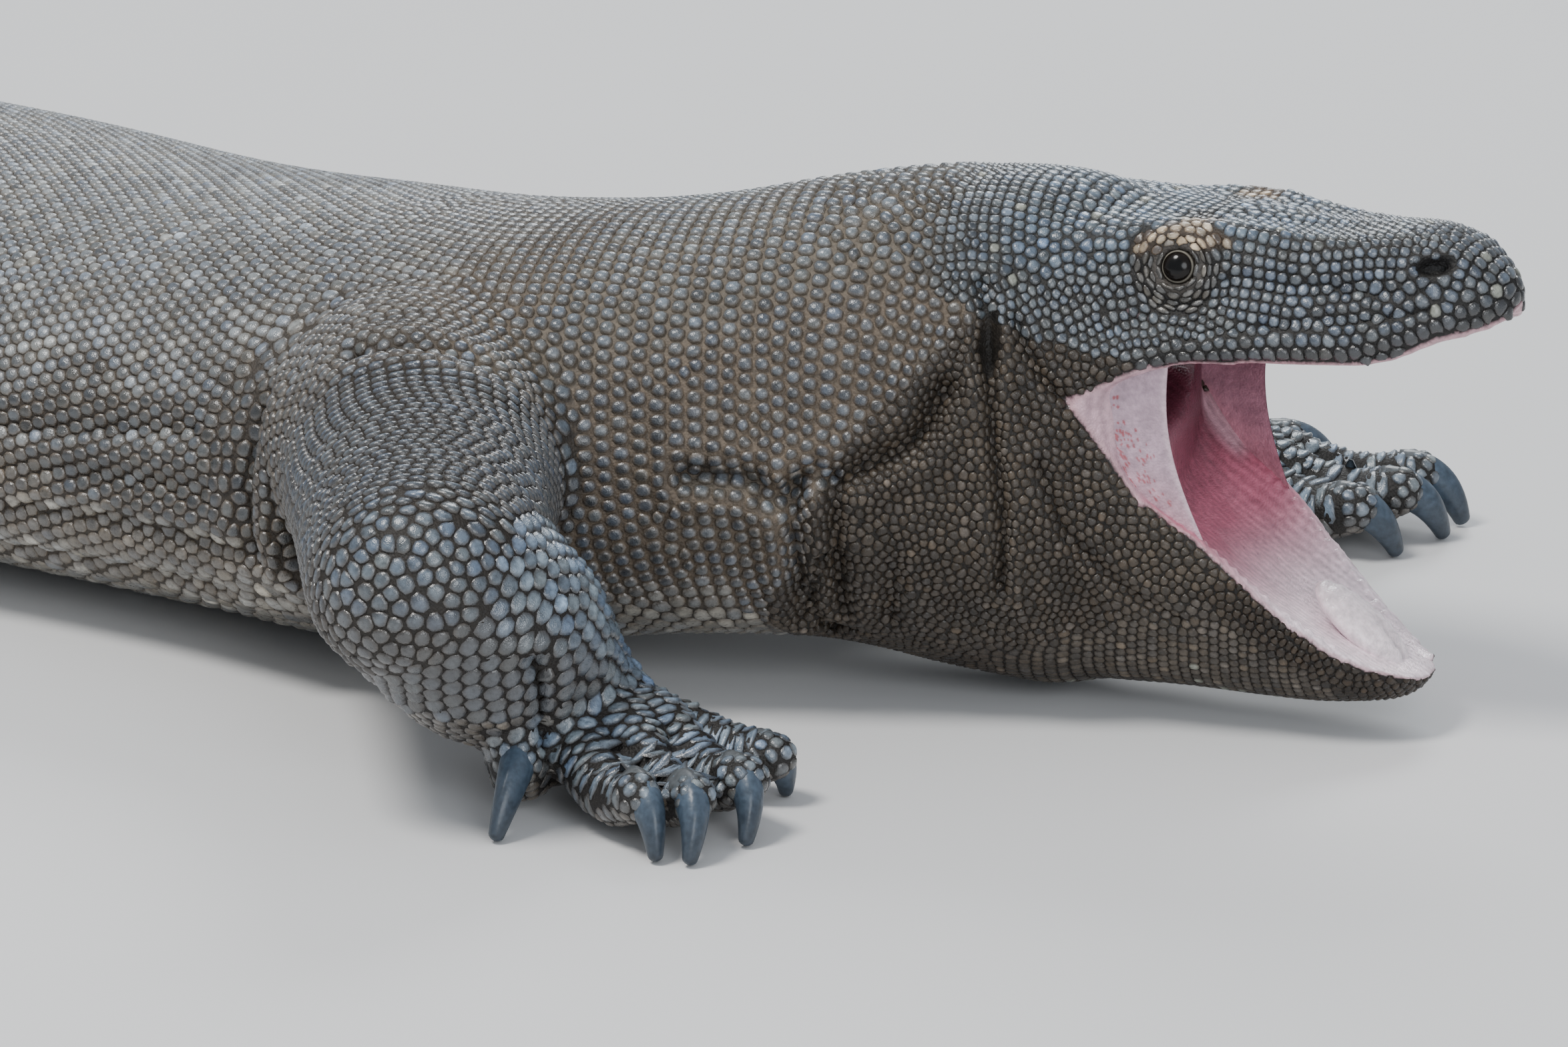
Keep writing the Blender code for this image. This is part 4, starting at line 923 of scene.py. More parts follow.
def sculpt(surface):
    """Smooths the skin, sinks it by the scales' depth, carves it, and says where bare skin and mouth are."""
    p = surface.points
    head, hands, fine = detail_masks(p, local(upper_in, p))
    surface.relax(np.full(len(p), 0.5), 2)
    surface.relax(0.5 * (1 - fine), 36)
    surface.split(head[surface.quads].min(1) > 0.98)
    p = surface.points
    u = local(upper_in, p)
    head, hands, fine = detail_masks(p, u)
    surface.relax(0.5 * head, 4)
    mouth = mouth_mask(surface)
    normals = surface.normals()
    for _ in range(3):
        normals = unit(normals + surface.mean(normals))
    digit = (p[:, 2] < 0.045) & (fine > 0.3) & (head < 0.1)
    depth = np.where(head > 0.5, 0.0011, np.where(digit, 0.0009, SCALE_DEPTH)) * (1 - mouth)
    lift = -np.where(p[:, 0] < -1.5, 0.0010, depth)
    lift = line_relief(lift, p, u, mouth) + gum_beads(p, mouth)
    lift = paw_grooves(lift, p, hands)
    for side in (-1, 1):
        reach = nostril_reach(u, side)
        lift -= 0.0050 * (1 - ramp(reach, 0.55, 1.05))
        lift += 0.0011 * bell(reach, 1.45, 0.4)
        reach = ear_reach(u, side)
        lift -= 0.0050 * (1 - ramp(reach, 0.4, 1.1))
        lift += 0.0012 * bell(reach, 1.6, 0.5)
    surface.points = p + normals * lift[:, None]
    lids(surface)
    surface.relax(np.where(mouth > 0.5, 0.25, 0.12), 2)
    surface.points[:, 2] = np.maximum(surface.points[:, 2], 0.0010)
    bare = np.zeros(len(surface.points))
    for side in (-1, 1):
        eye = eye_reach(local(upper_in, surface.points), side) - EYE_OPENING
        ear, nostril = ear_reach(u, side), nostril_reach(u, side)
        for reach, start, stop in ((eye, 0.5, 1.1), (ear, 0.75, 0.95), (nostril, 0.9, 1.15)):
            bare = np.maximum(bare, 1 - ramp(reach, start, stop))
    return bare, mouth


def lids(surface):
    """Opens each eye: the skin sinks behind the ball inside the lids, and rings of folds stand around it."""
    u = local(upper_in, surface.points)
    rim = math.sqrt((EYE_RADIUS + 1.1) ** 2 - EYE_OPENING**2)
    for side in (-1, 1):
        axis = eye_axis(side)
        ahead = unit(np.array([1.0, 0, 0]) - axis * axis[0])
        up = np.cross(ahead, axis) * side * -1
        rel = u - mirrored(EYE_AT, side)
        t, a, b = rel @ axis, rel @ ahead, rel @ up
        r = np.hypot(a / 1.06, b)
        near = (t > -9) & (r < 24) & (np.linalg.norm(rel, axis=1) < 26)
        socket = 1 - ramp(r, EYE_OPENING - 1.0, EYE_OPENING + 0.1)
        folds = 0.5 * np.cos((r - EYE_OPENING - 1.6) * 2 * np.pi / 4.4)
        folds *= 1 - ramp(r, EYE_OPENING + 7, EYE_OPENING + 11)
        folds += 1.8 * (bell(r, 14.0, 2.2) - bell(r, 18.0, 1.8)) * ramp(-b, -2, 5)
        folds += 1.6 * bell(b - 9.5 + 0.02 * a * a, 0, 2.6) * (abs(a) < 19)
        folds *= ramp(r, EYE_OPENING, EYE_OPENING + 1)
        goal = t + bell(r - EYE_OPENING, 1.3, 2.6) * (rim - 0.6 - t) + folds
        goal = goal * (1 - socket) - 1.5 * socket
        u = u + axis * np.where(near, goal - t, 0)[:, None]
    surface.points = local(upper, u)


# ------------------------------------------------------------------ shaders


def shader(name):
    made = bpy.data.materials.new(name)
    made.use_nodes = True
    nodes, links = made.node_tree.nodes, made.node_tree.links
    return made, nodes, links, nodes["Principled BSDF"]


def noise_node(nodes, links, scale, detail=3.0, kind="ShaderNodeTexNoise"):
    where = nodes.new("ShaderNodeTexCoord")
    made = nodes.new(kind)
    made.inputs["Scale"].default_value = scale
    if kind == "ShaderNodeTexNoise":
        made.inputs["Detail"].default_value = detail
    links.new(where.outputs["Object"], made.inputs["Vector"])
    return made


def spread_to(nodes, links, source, low, high, start=0.0, stop=1.0):
    """A number between low and high, from a noise between start and stop."""
    made = nodes.new("ShaderNodeMapRange")
    for name, value in (("From Min", start), ("From Max", stop), ("To Min", low), ("To Max", high)):
        made.inputs[name].default_value = value
    links.new(source.outputs["Fac"], made.inputs["Value"])
    return made.outputs["Result"]


def hide_shader(name, roughness, cells, bump, spread=0.35, gloss=()):
    """The vertex colours, mottled finely, with grain."""
    made, nodes, links, base = shader(name)
    colour = nodes.new("ShaderNodeAttribute")
    colour.attribute_name = "Col"
    noise = noise_node(nodes, links, 420.0, 4.0)
    mix = nodes.new("ShaderNodeMix")
    mix.data_type = "RGBA"
    mix.blend_type = "MULTIPLY"
    mix.inputs["Factor"].default_value = 1.0
    links.new(colour.outputs["Color"], mix.inputs["A"])
    links.new(spread_to(nodes, links, noise, 1 - spread, 1 + spread, 0.3, 0.7), mix.inputs["B"])
    links.new(mix.outputs["Result"], base.inputs["Base Color"])
    links.new(spread_to(nodes, links, noise, roughness - 0.10, roughness + 0.14), base.inputs["Roughness"])
    grain = noise_node(nodes, links, cells, kind="ShaderNodeTexVoronoi")
    lump = nodes.new("ShaderNodeBump")
    lump.inputs["Strength"].default_value = bump
    lump.inputs["Distance"].default_value = 0.0006
    lump.invert = True
    links.new(grain.outputs["Distance"], lump.inputs["Height"])
    links.new(lump.outputs["Normal"], base.inputs["Normal"])
    for socket, value in gloss:
        base.inputs[socket].default_value = value
    return made


# ------------------------------------------------------------------ zones of the hide


def share_of(weight, *names):
    """The summed share of some zones at each point."""
    return weight[:, [ZONE_NAMES.index(name) for name in names]].sum(1)


def zone_weights(axes, points, normals):
    """How much of each zone there is at each point, and its axis, lie and place on the unwrap."""
    n = len(points)
    which, s = nearest_axis(axes, points)
    weight = np.zeros((n, len(ZONE_NAMES)))

    def put(name, share):
        share = np.clip(share, 0, 1)[:, None]
        weight[:] *= 1 - share
        weight[:, ZONE_NAMES.index(name)] += share[:, 0]

    x, z, up = points[:, 0], points[:, 2], normals[:, 2]
    names = np.array([axis.name for axis in axes])[which]
    u, v = local(upper_in, points), local(lower_in, points)
    wobble = (hash_noise(points, 0.035, 3) - 0.5) * 0.05
    put("trunk", np.ones(n))
    # Painted sky reflection: trunk scales that face up take the back's lighter, bluer colours.
    put("back", ramp(up + wobble * 6, 0.35, 0.75) * ramp(-x, -0.10, 0.15))
    put("flank", ramp(-z + wobble, -0.085, -0.045) * ramp(-x, -0.1, 0.05))
    put("tail", ramp(-x + wobble, 0.95, 1.15))
    put("neck", ramp(x + wobble, 0.0, 0.05))
    # The nape: neck scales that face up, with lighter, bluer tops that are partly painted sky reflection.
    put("nape", ramp(x, 0.02, 0.06) * ramp(up + wobble * 4, 0.45, 0.75))
    throat = ramp(x - 0.55 * (z - 0.07) + wobble * 0.3, 0.138, 0.150)
    put("throat", throat * ramp(-z, -0.175, -0.155) * ramp(x, 0.1, 0.13))
    put("belly", ramp(-up, 0.45, 0.75) * (x < 0.12))
    on_head, on_jaw = (names == "head") * 1.0, (names == "jaw") * 1.0
    put("cheek", on_head)
    # The crown: the top of the head, whose lighter, bluer tops are partly painted sky reflection.
    put("crown", on_head * ramp(u[:, 2] + wobble * 60, 44, 56) * ramp(u[:, 0], -40, 0))
    put("snout", on_head * ramp(u[:, 0], 55, 85) * (1 - ramp(u[:, 2] + 0.10 * (u[:, 0] - 80), 36, 50)))
    # The head's rear scales that face up join the nape, with its partly painted sky reflection.
    put("nape", on_head * (u[:, 0] < -35) * ramp(-u[:, 0], 35, 60) * ramp(up, 0.3, 0.6))
    for side in (-1, 1):
        eye = u - mirrored(EYE_AT, side)
        near = on_head * (u[:, 1] * side > 0)
        put("lid", near * (1 - ramp(np.hypot(eye[:, 0], eye[:, 2]), 16, 18)))
        patch = np.hypot((eye[:, 0] - 1) / 3.9, eye[:, 2] - 12.0 + 0.010 * eye[:, 0] ** 2)
        near = near * (abs(eye[:, 0]) < 24) * (abs(eye[:, 1]) < 16)
        put("brow", near * (1 - ramp(patch + wobble * 60, 5.0, 6.5)))
    put("jaw", on_jaw)
    put("chin", on_jaw * ramp(-v[:, 2], 24, 34) * ramp(v[:, 0], 20, 60))
    put("throat", on_jaw * ramp(-v[:, 0], -20, 10))
    off_lip = np.abs(u[:, 2] - lip_at(u[:, 0], UPPER_HEAD, 4, 2))
    put("lip", on_head * (1 - ramp(off_lip, 4, 9)) * ramp(u[:, 0], -5, 15))
    for kind, *zones in (("fore", "arm", "forearm"), ("hind", "thigh", "shank")):
        put(zones[0], np.char.startswith(names, f"{kind}_upper") * ramp(s + wobble, 0.03, 0.07))
        put(zones[1], np.char.startswith(names, f"{kind}_lower") * 1.0)
    for index, axis in enumerate(axes):
        own = which == index
        if own.any() and ("lower" in axis.name or "upper" in axis.name):
            facing = np.zeros(n)
            facing[own] = ramp(np.abs(dot(axis.at(s[own])[1], normals[own])), 0.40, 0.65)
            put("joint", facing * share_of(weight, "arm", "forearm", "thigh", "shank"))
    paw = np.zeros(n)
    for side, kind in LEGS:
        away = np.linalg.norm((points - np.array(leg_joints(side, kind)[2])) * (1, 1, 0), axis=1)
        near = (away < 0.16) & (z < 0.06) & (np.char.find(names, kind) == 0)
        paw = np.maximum(paw, near * ramp(-z, -0.050, -0.034))
    digit = np.char.find(names, "digit") > 0
    put("hand", np.maximum(paw, digit * 1.0))
    put("digit", digit * ramp(s, 0.018, 0.026))
    caps = np.zeros(n)
    for index in np.unique(which[digit]):
        own = which == index
        length = axes[index].length[-1]
        facing = ramp(np.abs(dot(axes[index].at(s[own])[1], normals[own])), 0.45, 0.65)
        tip = ramp(s[own], length - 0.005, length - 0.002)
        caps[own] = np.maximum(facing * ramp(s[own], 0.02, 0.03), tip)
    put("cuticle", caps)
    put("palm", (np.maximum(paw, digit) > 0.3) * ramp(-up, 0.35, 0.65))
    return weight, which, *lie_and_chart(axes, points, which, s, u)


def lie_and_chart(axes, points, which, s, u):
    """Which way the scales lie, and each point's place on the unwrap."""
    lie, chart = np.zeros((len(points), 3)), np.zeros((len(points), 2))
    for index, axis in enumerate(axes):
        own = which == index
        if not own.any():
            continue
        centre, along, side, top, _ = axis.at(s[own])
        rel = points[own] - centre
        turn = np.arctan2(dot(rel, top), dot(rel, side)) / (2 * np.pi) % 1
        lie[own] = along if axis.name[:4] in ("fore", "hind") else -along * np.sign(along[:, :1])
        across, down, scale = axis.chart
        chart[own, 0] = across + s[own] * scale
        chart[own, 1] = down + turn * 2 * np.pi * axis.radius.max() * scale
    on_head = which == [axis.name for axis in axes].index("head")
    for side in (-1, 1):
        eye = mirrored(EYE_AT, side)
        near = on_head & (np.linalg.norm(u - eye, axis=1) < 22)
        lie[near] = unit(points[near] - local(upper, eye[None]))
    return lie, chart


def scale_sizes(weight, points):
    """How far apart the scales' centres stand: even on the limbs, uneven on the head and neck."""
    loose = share_of(weight, "neck", "nape", "throat", "cheek", "crown", "snout", "jaw", "chin")
    return (weight @ SIZE) * (1 + loose * 0.42 * (hash_noise(points, 0.0065, 15) - 0.5))


def tint(points):
    """Soft mottling of the whole animal."""
    broad = hash_noise(points, 0.055, 1) * 0.6 + hash_noise(points, 0.022, 2) * 0.4
    return 0.80 + 0.40 * broad


def dusty(colours, points, share):
    """Warm dust caught in patches."""
    caught = 0.6 * hash_noise(points, 0.045, 21) + 0.4 * hash_noise(points, 0.014, 22)
    return blend(colours, (0.150, 0.122, 0.090), ramp(caught, 0.48, 0.72) * share)


# ------------------------------------------------------------------ scales


def greedy(points, normals, sizes, lies, stretch):
    """The indices of points kept in order, each at least its own size from those already kept."""
    cell = 0.010
    grid = {}
    kept = []
    keys = np.floor(points / cell).astype(int).tolist()
    data = np.column_stack([points, normals, lies]).tolist()
    size2 = (sizes**2).tolist()
    pull = (stretch**2 - 1).tolist()
    around = [(i, j, k) for i in (-1, 0, 1) for j in (-1, 0, 1) for k in (-1, 0, 1)]
    for n, (key, one) in enumerate(zip(keys, data)):
        a, b, c = key
        x, y, z, nx, ny, nz, lx, ly, lz = one
        reach, k2 = size2[n], pull[n]
        clear = True
        for i, j, k in around:
            held = grid.get((a + i, b + j, c + k))
            if not held:
                continue
            for ox, oy, oz, mx, my, mz in held:
                dx, dy, dz = x - ox, y - oy, z - oz
                flat = dx * lx + dy * ly + dz * lz
                apart = dx * dx + dy * dy + dz * dz + k2 * flat * flat
                if apart < reach and nx * mx + ny * my + nz * mz > 0.2:
                    clear = False
                    break
            if not clear:
                break
        if clear:
            kept.append(n)
            grid.setdefault((a, b, c), []).append((x, y, z, nx, ny, nz))
    return np.array(kept)


class Ground:
    """The finished skin, to land points on."""

    def __init__(self, surface, mouth):
        self.tris = triangles(surface.quads)
        self.points, self.normals, self.mouth = surface.points, surface.normals(), mouth
        self.tree = BVHTree.FromPolygons(self.points.tolist(), self.tris.tolist())

    def at(self, faces, points):
        """Smooth normals and the mouth mask at points on faces."""
        corners = self.tris[faces]
        near = 1 / (np.linalg.norm(self.points[corners] - points[:, None], axis=2) + 1e-6)
        near /= near.sum(1, keepdims=True)
        return unit((self.normals[corners] * near[..., None]).sum(1)), (self.mouth[corners] * near).sum(1)

    def nearest(self, points):
        """The nearest places on the skin, and their faces."""
        found = [self.tree.find_nearest(Vector(p)) for p in points.tolist()]
        return np.array([tuple(f[0]) for f in found]), np.array([f[2] for f in found])

    def land(self, points):
        place, faces = self.nearest(points)
        return (place, *self.at(faces, place))

    def scatter(self, count, sizes):
        """Random places outside the mouth, as dense as the scales are small."""
        a, b, c = (self.points[self.tris[:, k]] for k in range(3))
        area = np.linalg.norm(np.cross(b - a, c - a), axis=1) / sizes[self.tris[:, 0]] ** 2
        area *= self.mouth[self.tris[:, 0]] < 0.5
        faces = np.searchsorted(np.cumsum(area) / area.sum(), random.random(count))
        faces = np.minimum(faces, len(area) - 1)
        r, t = np.sqrt(random.random(count)), random.random(count)
        r, t = r[:, None], t[:, None]
        points = (1 - r) * a[faces] + r * (1 - t) * b[faces] + r * t * c[faces]
        return (points, *self.at(faces, points))

    def rings(self, axis, pitch, across):
        """Places in rows round an axis, each row half a step on from the last."""
        out = []
        for row in range(max(int(axis.length[-1] / pitch), 1)):
            centre, _, side, top, radius = axis.at((row + 0.5) * pitch)
            ring = []
            for a in round_ways(80):
                way = side * math.cos(a) + top * math.sin(a)
                hit = self.tree.ray_cast(Vector(centre), Vector(way), radius * 2.0 + 0.01)
                ring.append(None if hit[0] is None else np.array(hit[0]))
            left = across * (0.5 if row % 2 else 1.0)
            for a, b in zip(ring, ring[1:] + ring[:1]):
                if a is None or b is None or np.linalg.norm(b - a) > 0.03:
                    continue
                gap = np.linalg.norm(b - a)
                while left < gap:
                    out.append(a + (b - a) * left / gap)
                    left += across
                left -= gap
        return np.array(out).reshape(-1, 3)


def eye_round(side, turns):
    """Directions square to an eye's axis, at angles round it."""
    other = unit(np.cross(eye_axis(side), (0, 0, 1)))
    third = np.cross(eye_axis(side), other)
    return np.cos(turns)[:, None] * other + np.sin(turns)[:, None] * third


def lid_places():
    """Centres of the long narrow scales that ring each eye."""
    out = []
    for side in (-1, 1):
        centre = mirrored(EYE_AT, side) + eye_axis(side) * 5
        for ring in range(LID_RINGS):
            far = EYE_OPENING + 1.9 + ring * LID_PITCH
            count = int(2 * np.pi * far / (LID_PITCH * 2.3))
            turns = 2 * np.pi * (np.arange(count) + 0.5 * (ring % 2)) / count
            out.append(local(upper, centre + far * eye_round(side, turns)))
    return np.vstack(out)


def lip_places():
    """Centres of the plates along both lips, in two rows."""
    out = []
    lips = ((UPPER_HEAD, 4, upper, 6, 150, 3.4), (LOWER_JAW, 3, lower, 4, 146, -3.2))
    for table, spot, matrix, start, stop, rise in lips:
        rows = smooth_rows([[row[0], *row[1:][spot]] for row in table], 8)
        rows = rows[(rows[:, 0] > start) & (rows[:, 0] < stop)]
        rows = rows[np.argsort(rows[:, 0])]
        steps = np.concatenate([[0], np.cumsum(np.linalg.norm(np.diff(rows, axis=0), axis=1))])
        for side in (-1, 1):
            for level, pitch in ((rise, 5.6), (rise * 2.6, 5.4)):
                at = np.arange(pitch / 2, steps[-1], pitch)
                x, y, z = (np.interp(at, steps, rows[:, k]) for k in range(3))
                out.append(local(matrix, np.stack([x, side * (y + 1.5), z + level], 1)))
    return np.vstack(out)


class Cells:
    """How far each scale reaches in each direction, from the half-way lines to its neighbours."""

    def __init__(self, points, normals, sizes, lie, across, stretch):
        near = neighbours(points, 12)
        d = points[near] - points[:, None]
        one, two = dot(d, lie[:, None]), dot(d, across[:, None])
        true = np.linalg.norm(d, axis=2) / np.maximum(np.hypot(one, two), 1e-6)
        self.one, self.two = one * true * stretch[:, None], two * true
        self.ok = dot(normals[near], normals[:, None]) > 0.1
        self.share = sizes[:, None] / (sizes[:, None] + sizes[near])
        self.sizes = sizes

    def reach(self, index, ways):
        out = np.full(ways.shape, 1.0)
        for j in range(self.one.shape[1]):
            a, b = self.one[index, j, None], self.two[index, j, None]
            toward = a * np.cos(ways) + b * np.sin(ways)
            bound = self.share[index, j, None] * (a * a + b * b) / np.maximum(toward, 1e-5)
            out = np.where((toward > 1e-5) & self.ok[index, j, None], np.minimum(out, bound), out)
        out = np.minimum(out, self.sizes[index, None] * 0.80)
        return 0.76 * out + 0.12 * (np.roll(out, 1, 1) + np.roll(out, -1, 1))


def make_seeds(axes, ground, sizes):
    """Places and normals of every scale: lips and lids first, then rows, then darts where there is room."""
    lips = np.vstack([lip_places(), lid_places()])
    rows = []
    for axis in axes:
        pitch, across = next(pair for key, pair in ROW_PITCH.items() if key in axis.name)
        rows.append(ground.rings(axis, pitch, across))
    place, normal, mouth = ground.land(np.vstack([lips, *rows]))
    weight, which, _, _ = zone_weights(axes, place, normal)
    first = np.arange(len(place)) < len(lips)
    expected = np.repeat(np.arange(-1, len(axes)), [len(lips), *(len(p) for p in rows)])
    good = (mouth < 0.3) & (first | (which == expected))
    good &= first | (scale_sizes(weight, place) > SMALLEST_IN_ROWS) | (share_of(weight, "digit") > 0.5)
    darts = ground.scatter(DARTS, sizes)
    dry = darts[2] < 0.35
    place, normal = (np.concatenate([a[good], b[dry]]) for a, b in zip((place, normal), darts))
    weight, _, lie, _ = zone_weights(axes, place, normal)
    kept = greedy(place, normal, scale_sizes(weight, place) * 0.76, unit(lie), weight @ STRETCH)
    return place[kept], normal[kept]


def settle(place, normal, ground, axes, steps=4):
    """Evens out the seeds over the skin, all but those on the digits and lids."""
    for _ in range(steps):
        weight, _, lie, _ = zone_weights(axes, place, normal)
        size = scale_sizes(weight, place)[:, None]
        flat = flat_to(lie, normal)[:, None]
        pull = weight @ STRETCH - 1
        firm = share_of(weight, "digit", "lid") > 0.5
        d = place[:, None] - place[neighbours(place, 8)]
        far = np.linalg.norm(d + (dot(d, flat) * pull[:, None])[..., None] * flat, axis=2)
        push = np.maximum(1 - far / (size * 1.06), 0) / np.maximum(far, 1e-5)
        place = place + (d * push[..., None]).sum(1) * size * np.where(firm, 0.0, 0.35)[:, None]
        place, normal, mouth = ground.land(place)
        place, normal = place[mouth < 0.4], normal[mouth < 0.4]
    return place, normal


def scale_colours(place, normal, weight):
    """The colours of each scale's top and of its edge."""
    n = len(place)
    shade = tint(place)[:, None]
    own = random.normal(0, 1, (n, 3))
    limb = share_of(weight, "arm", "forearm", "shank", "joint", "hand", "digit", "cuticle")
    pale = (random.random(n) < 0.05)[:, None]
    light = (0.34 - 0.14 * limb[:, None]) * own[:, :1]
    warm = 0.05 * own[:, 1:2] * np.array([1, 0.2, -1.2])
    top = (weight @ TOP) * shade * np.exp(light + warm + 0.40 * pale)
    # Painted shade: limb scales that face down are blended towards a dark brown.
    top = blend(top, np.array((0.052, 0.046, 0.038)) * shade, 0.75 * limb * ramp(-normal[:, 2], -0.40, 0.25))
    facial = share_of(weight, "snout", "crown", "cheek", "lip", "chin")
    fleck = (random.random(n) < 0.035) & (facial > 0.5) & (hash_noise(place, 0.02, 11) > 0.45)
    top = blend(top, (0.27, 0.28, 0.235), fleck)
    stain = (share_of(weight, "brow") > 0.5) & (hash_noise(place, 0.007, 12) > 0.62)
    top = blend(top, (0.06, 0.045, 0.035), stain)
    edge = (weight @ EDGE) * shade * np.exp(0.10 * own[:, 1:2])
    dust = share_of(weight, "trunk", "flank", "neck", "nape", "throat", "belly", "jaw", "chin")
    dust = dust * (1 - 0.6 * share_of(weight, "throat", "jaw", "chin"))
    return dusty(top, place, 0.18 * dust), dusty(edge, place, 0.50 * dust)


def regions_of(axes, place, which, throat):
    """The scales' indices by region."""
    names = np.array([axis.name for axis in axes])[which]
    label = np.full(len(place), "trunk", dtype=object)
    label[place[:, 0] < -0.95] = "tail"
    label[(place[:, 0] > -0.05) & (names == "spine")] = "neck"
    label[names == "head"] = "head"
    label[names == "jaw"] = "jaw"
    label[throat > 0.5] = "throat"
    for side, kind in LEGS:
        label[np.char.startswith(names, kind) & np.char.endswith(names, side)] = f"{kind}leg_{side}"
    return {name: np.nonzero(label == name)[0] for name in sorted(set(label))}


def dome_faces(count, sides, rings):
    """Corners and sizes of the faces of domes of rings under a crown."""
    base = (np.arange(count) * (sides * rings + 1))[:, None, None]
    k = np.arange(sides)
    m = (k + 1) % sides
    rows = [np.stack([k, m, sides + m, sides + k], 1) + r * sides for r in range(rings - 1)]
    last = (rings - 1) * sides
    fans = np.stack([last + k, last + m, np.full(sides, rings * sides)], 1)
    quads = (base + np.concatenate(rows)[None]).reshape(-1, 4)
    fans = (base + fans[None]).reshape(-1, 3)
    corners = np.concatenate([quads.reshape(-1), fans.reshape(-1)])
    return corners, np.concatenate([np.full(len(quads), 4), np.full(len(fans), 3)])


class Coat:
    """Every scale of the hide: its cell, its colours, its lie and the shape of its dome."""

    def __init__(self, place, normal, ground, axes):
        self.place, self.normal, self.ground, self.axes = place, normal, ground, axes
        weight, self.which, lie, self.chart = zone_weights(axes, place, normal)
        self.size, self.high = scale_sizes(weight, place), weight @ HEIGHT
        self.stretch, self.tilt = weight @ STRETCH, weight @ TILT
        self.lie = flat_to(lie, normal)
        self.across = np.cross(normal, self.lie)
        self.cells = Cells(place, normal, self.size, self.lie, self.across, self.stretch)
        self.top, self.edge = scale_colours(place, normal, weight)
        self.grow = 0.95 - 0.08 * share_of(weight, "neck", "nape")
        self.phase = random.random(len(place)) * 2 * np.pi
        self.throat = share_of(weight, "throat")

    def rims(self, index, ways, reach):
        """From each scale's centre to its rim on the skin, drawn in where the skin folds or is bare."""
        reach = reach * self.grow[index, None]
        ahead = (np.cos(ways) * reach / self.stretch[index, None])[..., None] * self.lie[index, None]
        flat = ahead + (np.sin(ways) * reach)[..., None] * self.across[index, None]
        rim = self.place[index, None] + flat
        landed, faces = self.ground.nearest(rim.reshape(-1, 3))
        landed = landed.reshape(rim.shape)
        bare = self.ground.mouth[self.ground.tris[faces]].mean(1).reshape(ways.shape) > 0.5
        slip = np.linalg.norm(landed - rim, axis=2) / np.maximum(np.linalg.norm(flat, axis=2), 1e-6)
        off = np.where((slip > 0.5)[..., None], flat * 0.8, landed - self.place[index, None])
        return off * np.where(bare, 0.55, 1.0)[..., None]

    def domes(self, index, sides, rings):
        """Points, colours and places on the unwrap of some scales' domes."""
        ways = self.phase[index, None] + round_ways(sides)[None]
        reach = self.cells.reach(index, ways)
        off = self.rims(index, ways, reach)
        tall = self.high[index] * np.minimum(1, np.median(reach, 1) / (self.size[index] * 0.42))
        around = np.stack([np.cos(ways), np.sin(ways)], 2)
        lean = 1 + self.tilt[index, None] * around[..., 0]
        points, colours, spots = [], [], []
        for far, level in rings:
            lift = (level * tall[:, None] * (lean if level > 0 else 1.0))[..., None]
            points.append(self.place[index, None] + off * far + lift * self.normal[index, None])
            share = 0.0 if level < 0 else (0.32 if far > 0.8 else 0.9)
            mix = self.edge[index] * (1 - share) + self.top[index] * share
            colours.append(np.repeat(mix[:, None], sides, 1))
            spots.append(around * far * PATCH + self.chart[index, None])
        points.append((self.place[index] + self.normal[index] * (tall * 1.06)[:, None])[:, None])
        # Each dome's crown point is a little lighter than its top: a small painted highlight.
        colours.append((self.top[index] * 1.05)[:, None])
        spots.append(self.chart[index, None])
        found = (np.concatenate(part, 1) for part in (points, colours, spots))
        return [part.reshape(-1, part.shape[2]) for part in found]

    def build(self, name, index, sides, rings, shade):
        """Some scales as one piece."""
        points, colours, spots = self.domes(index, sides, rings)
        points[:, 2] = np.maximum(points[:, 2], LOWEST)
        corners, sizes = dome_faces(len(index), sides, len(rings))
        thing = piece(name, points, corners, shade, (), sizes)
        colour_points(thing.data, "Col", colours)
        layer = thing.data.uv_layers.new(name="OFBake")
        layer.data.foreach_set("uv", spots[corners].astype(np.float32).reshape(-1))

    def build_all(self, shade, region_shades):
        """Every scale, joined by region, with simpler domes towards the rear."""
        for label, own in regions_of(self.axes, self.place, self.which, self.throat).items():
            near = self.place[own, 0] > REAR_FROM
            lengths = ((own[near], "", NEAR_DOME), (own[~near], "_rear", REAR_DOME))
            for whole, ending, (sides, rings) in lengths:
                most = MOST_TRIANGLES // (sides * (len(rings) * 2 - 1))
                parts = np.array_split(whole, math.ceil(len(whole) / most)) if len(whole) else []
                for part, index in enumerate(parts):
                    name = f"scales_{label}{ending}" + (f"_{part + 1}" if len(parts) > 1 else "")
                    self.build(name, index, sides, rings, region_shades.get(label, shade))


# ------------------------------------------------------------------ eyes, mouth, claws


def eye_piece(name, side, shade):
    """A ball with a dark iris inside a thin pale ring."""
    rings, colours = [], []
    count, sides = 40, 48
    for i in range(1, count):
        a = math.pi * i / count
        bulge = 1 + 0.035 * (1 - ramp(a, 0.5, 0.8))
        ring = math.cos(a) * eye_axis(side) + math.sin(a) * eye_round(side, round_ways(sides))
        rings.append(local(upper, mirrored(EYE_AT, side) + ring * EYE_RADIUS * bulge))
        far = np.array([math.sin(a) * EYE_RADIUS if a < math.pi / 2 else EYE_RADIUS])
        mix = blend(np.array((0.002, 0.002, 0.002)), (0.006, 0.004, 0.003), ramp(far, 2.6, 3.4))
        mix = blend(mix, (0.26, 0.24, 0.20), ramp(far, 5.85, 6.0))
        mix = blend(mix, (0.03, 0.025, 0.02), ramp(far, 6.15, 6.35))
        colours.append(np.repeat(mix, sides, 0))
    points, tris = loft(rings)
    made = piece(name, points, tris, shade, (name.replace("eyeball", "eye"),))
    colour_points(made.data, "Col", np.vstack([*colours, colours[0][:1], colours[-1][:1]]))


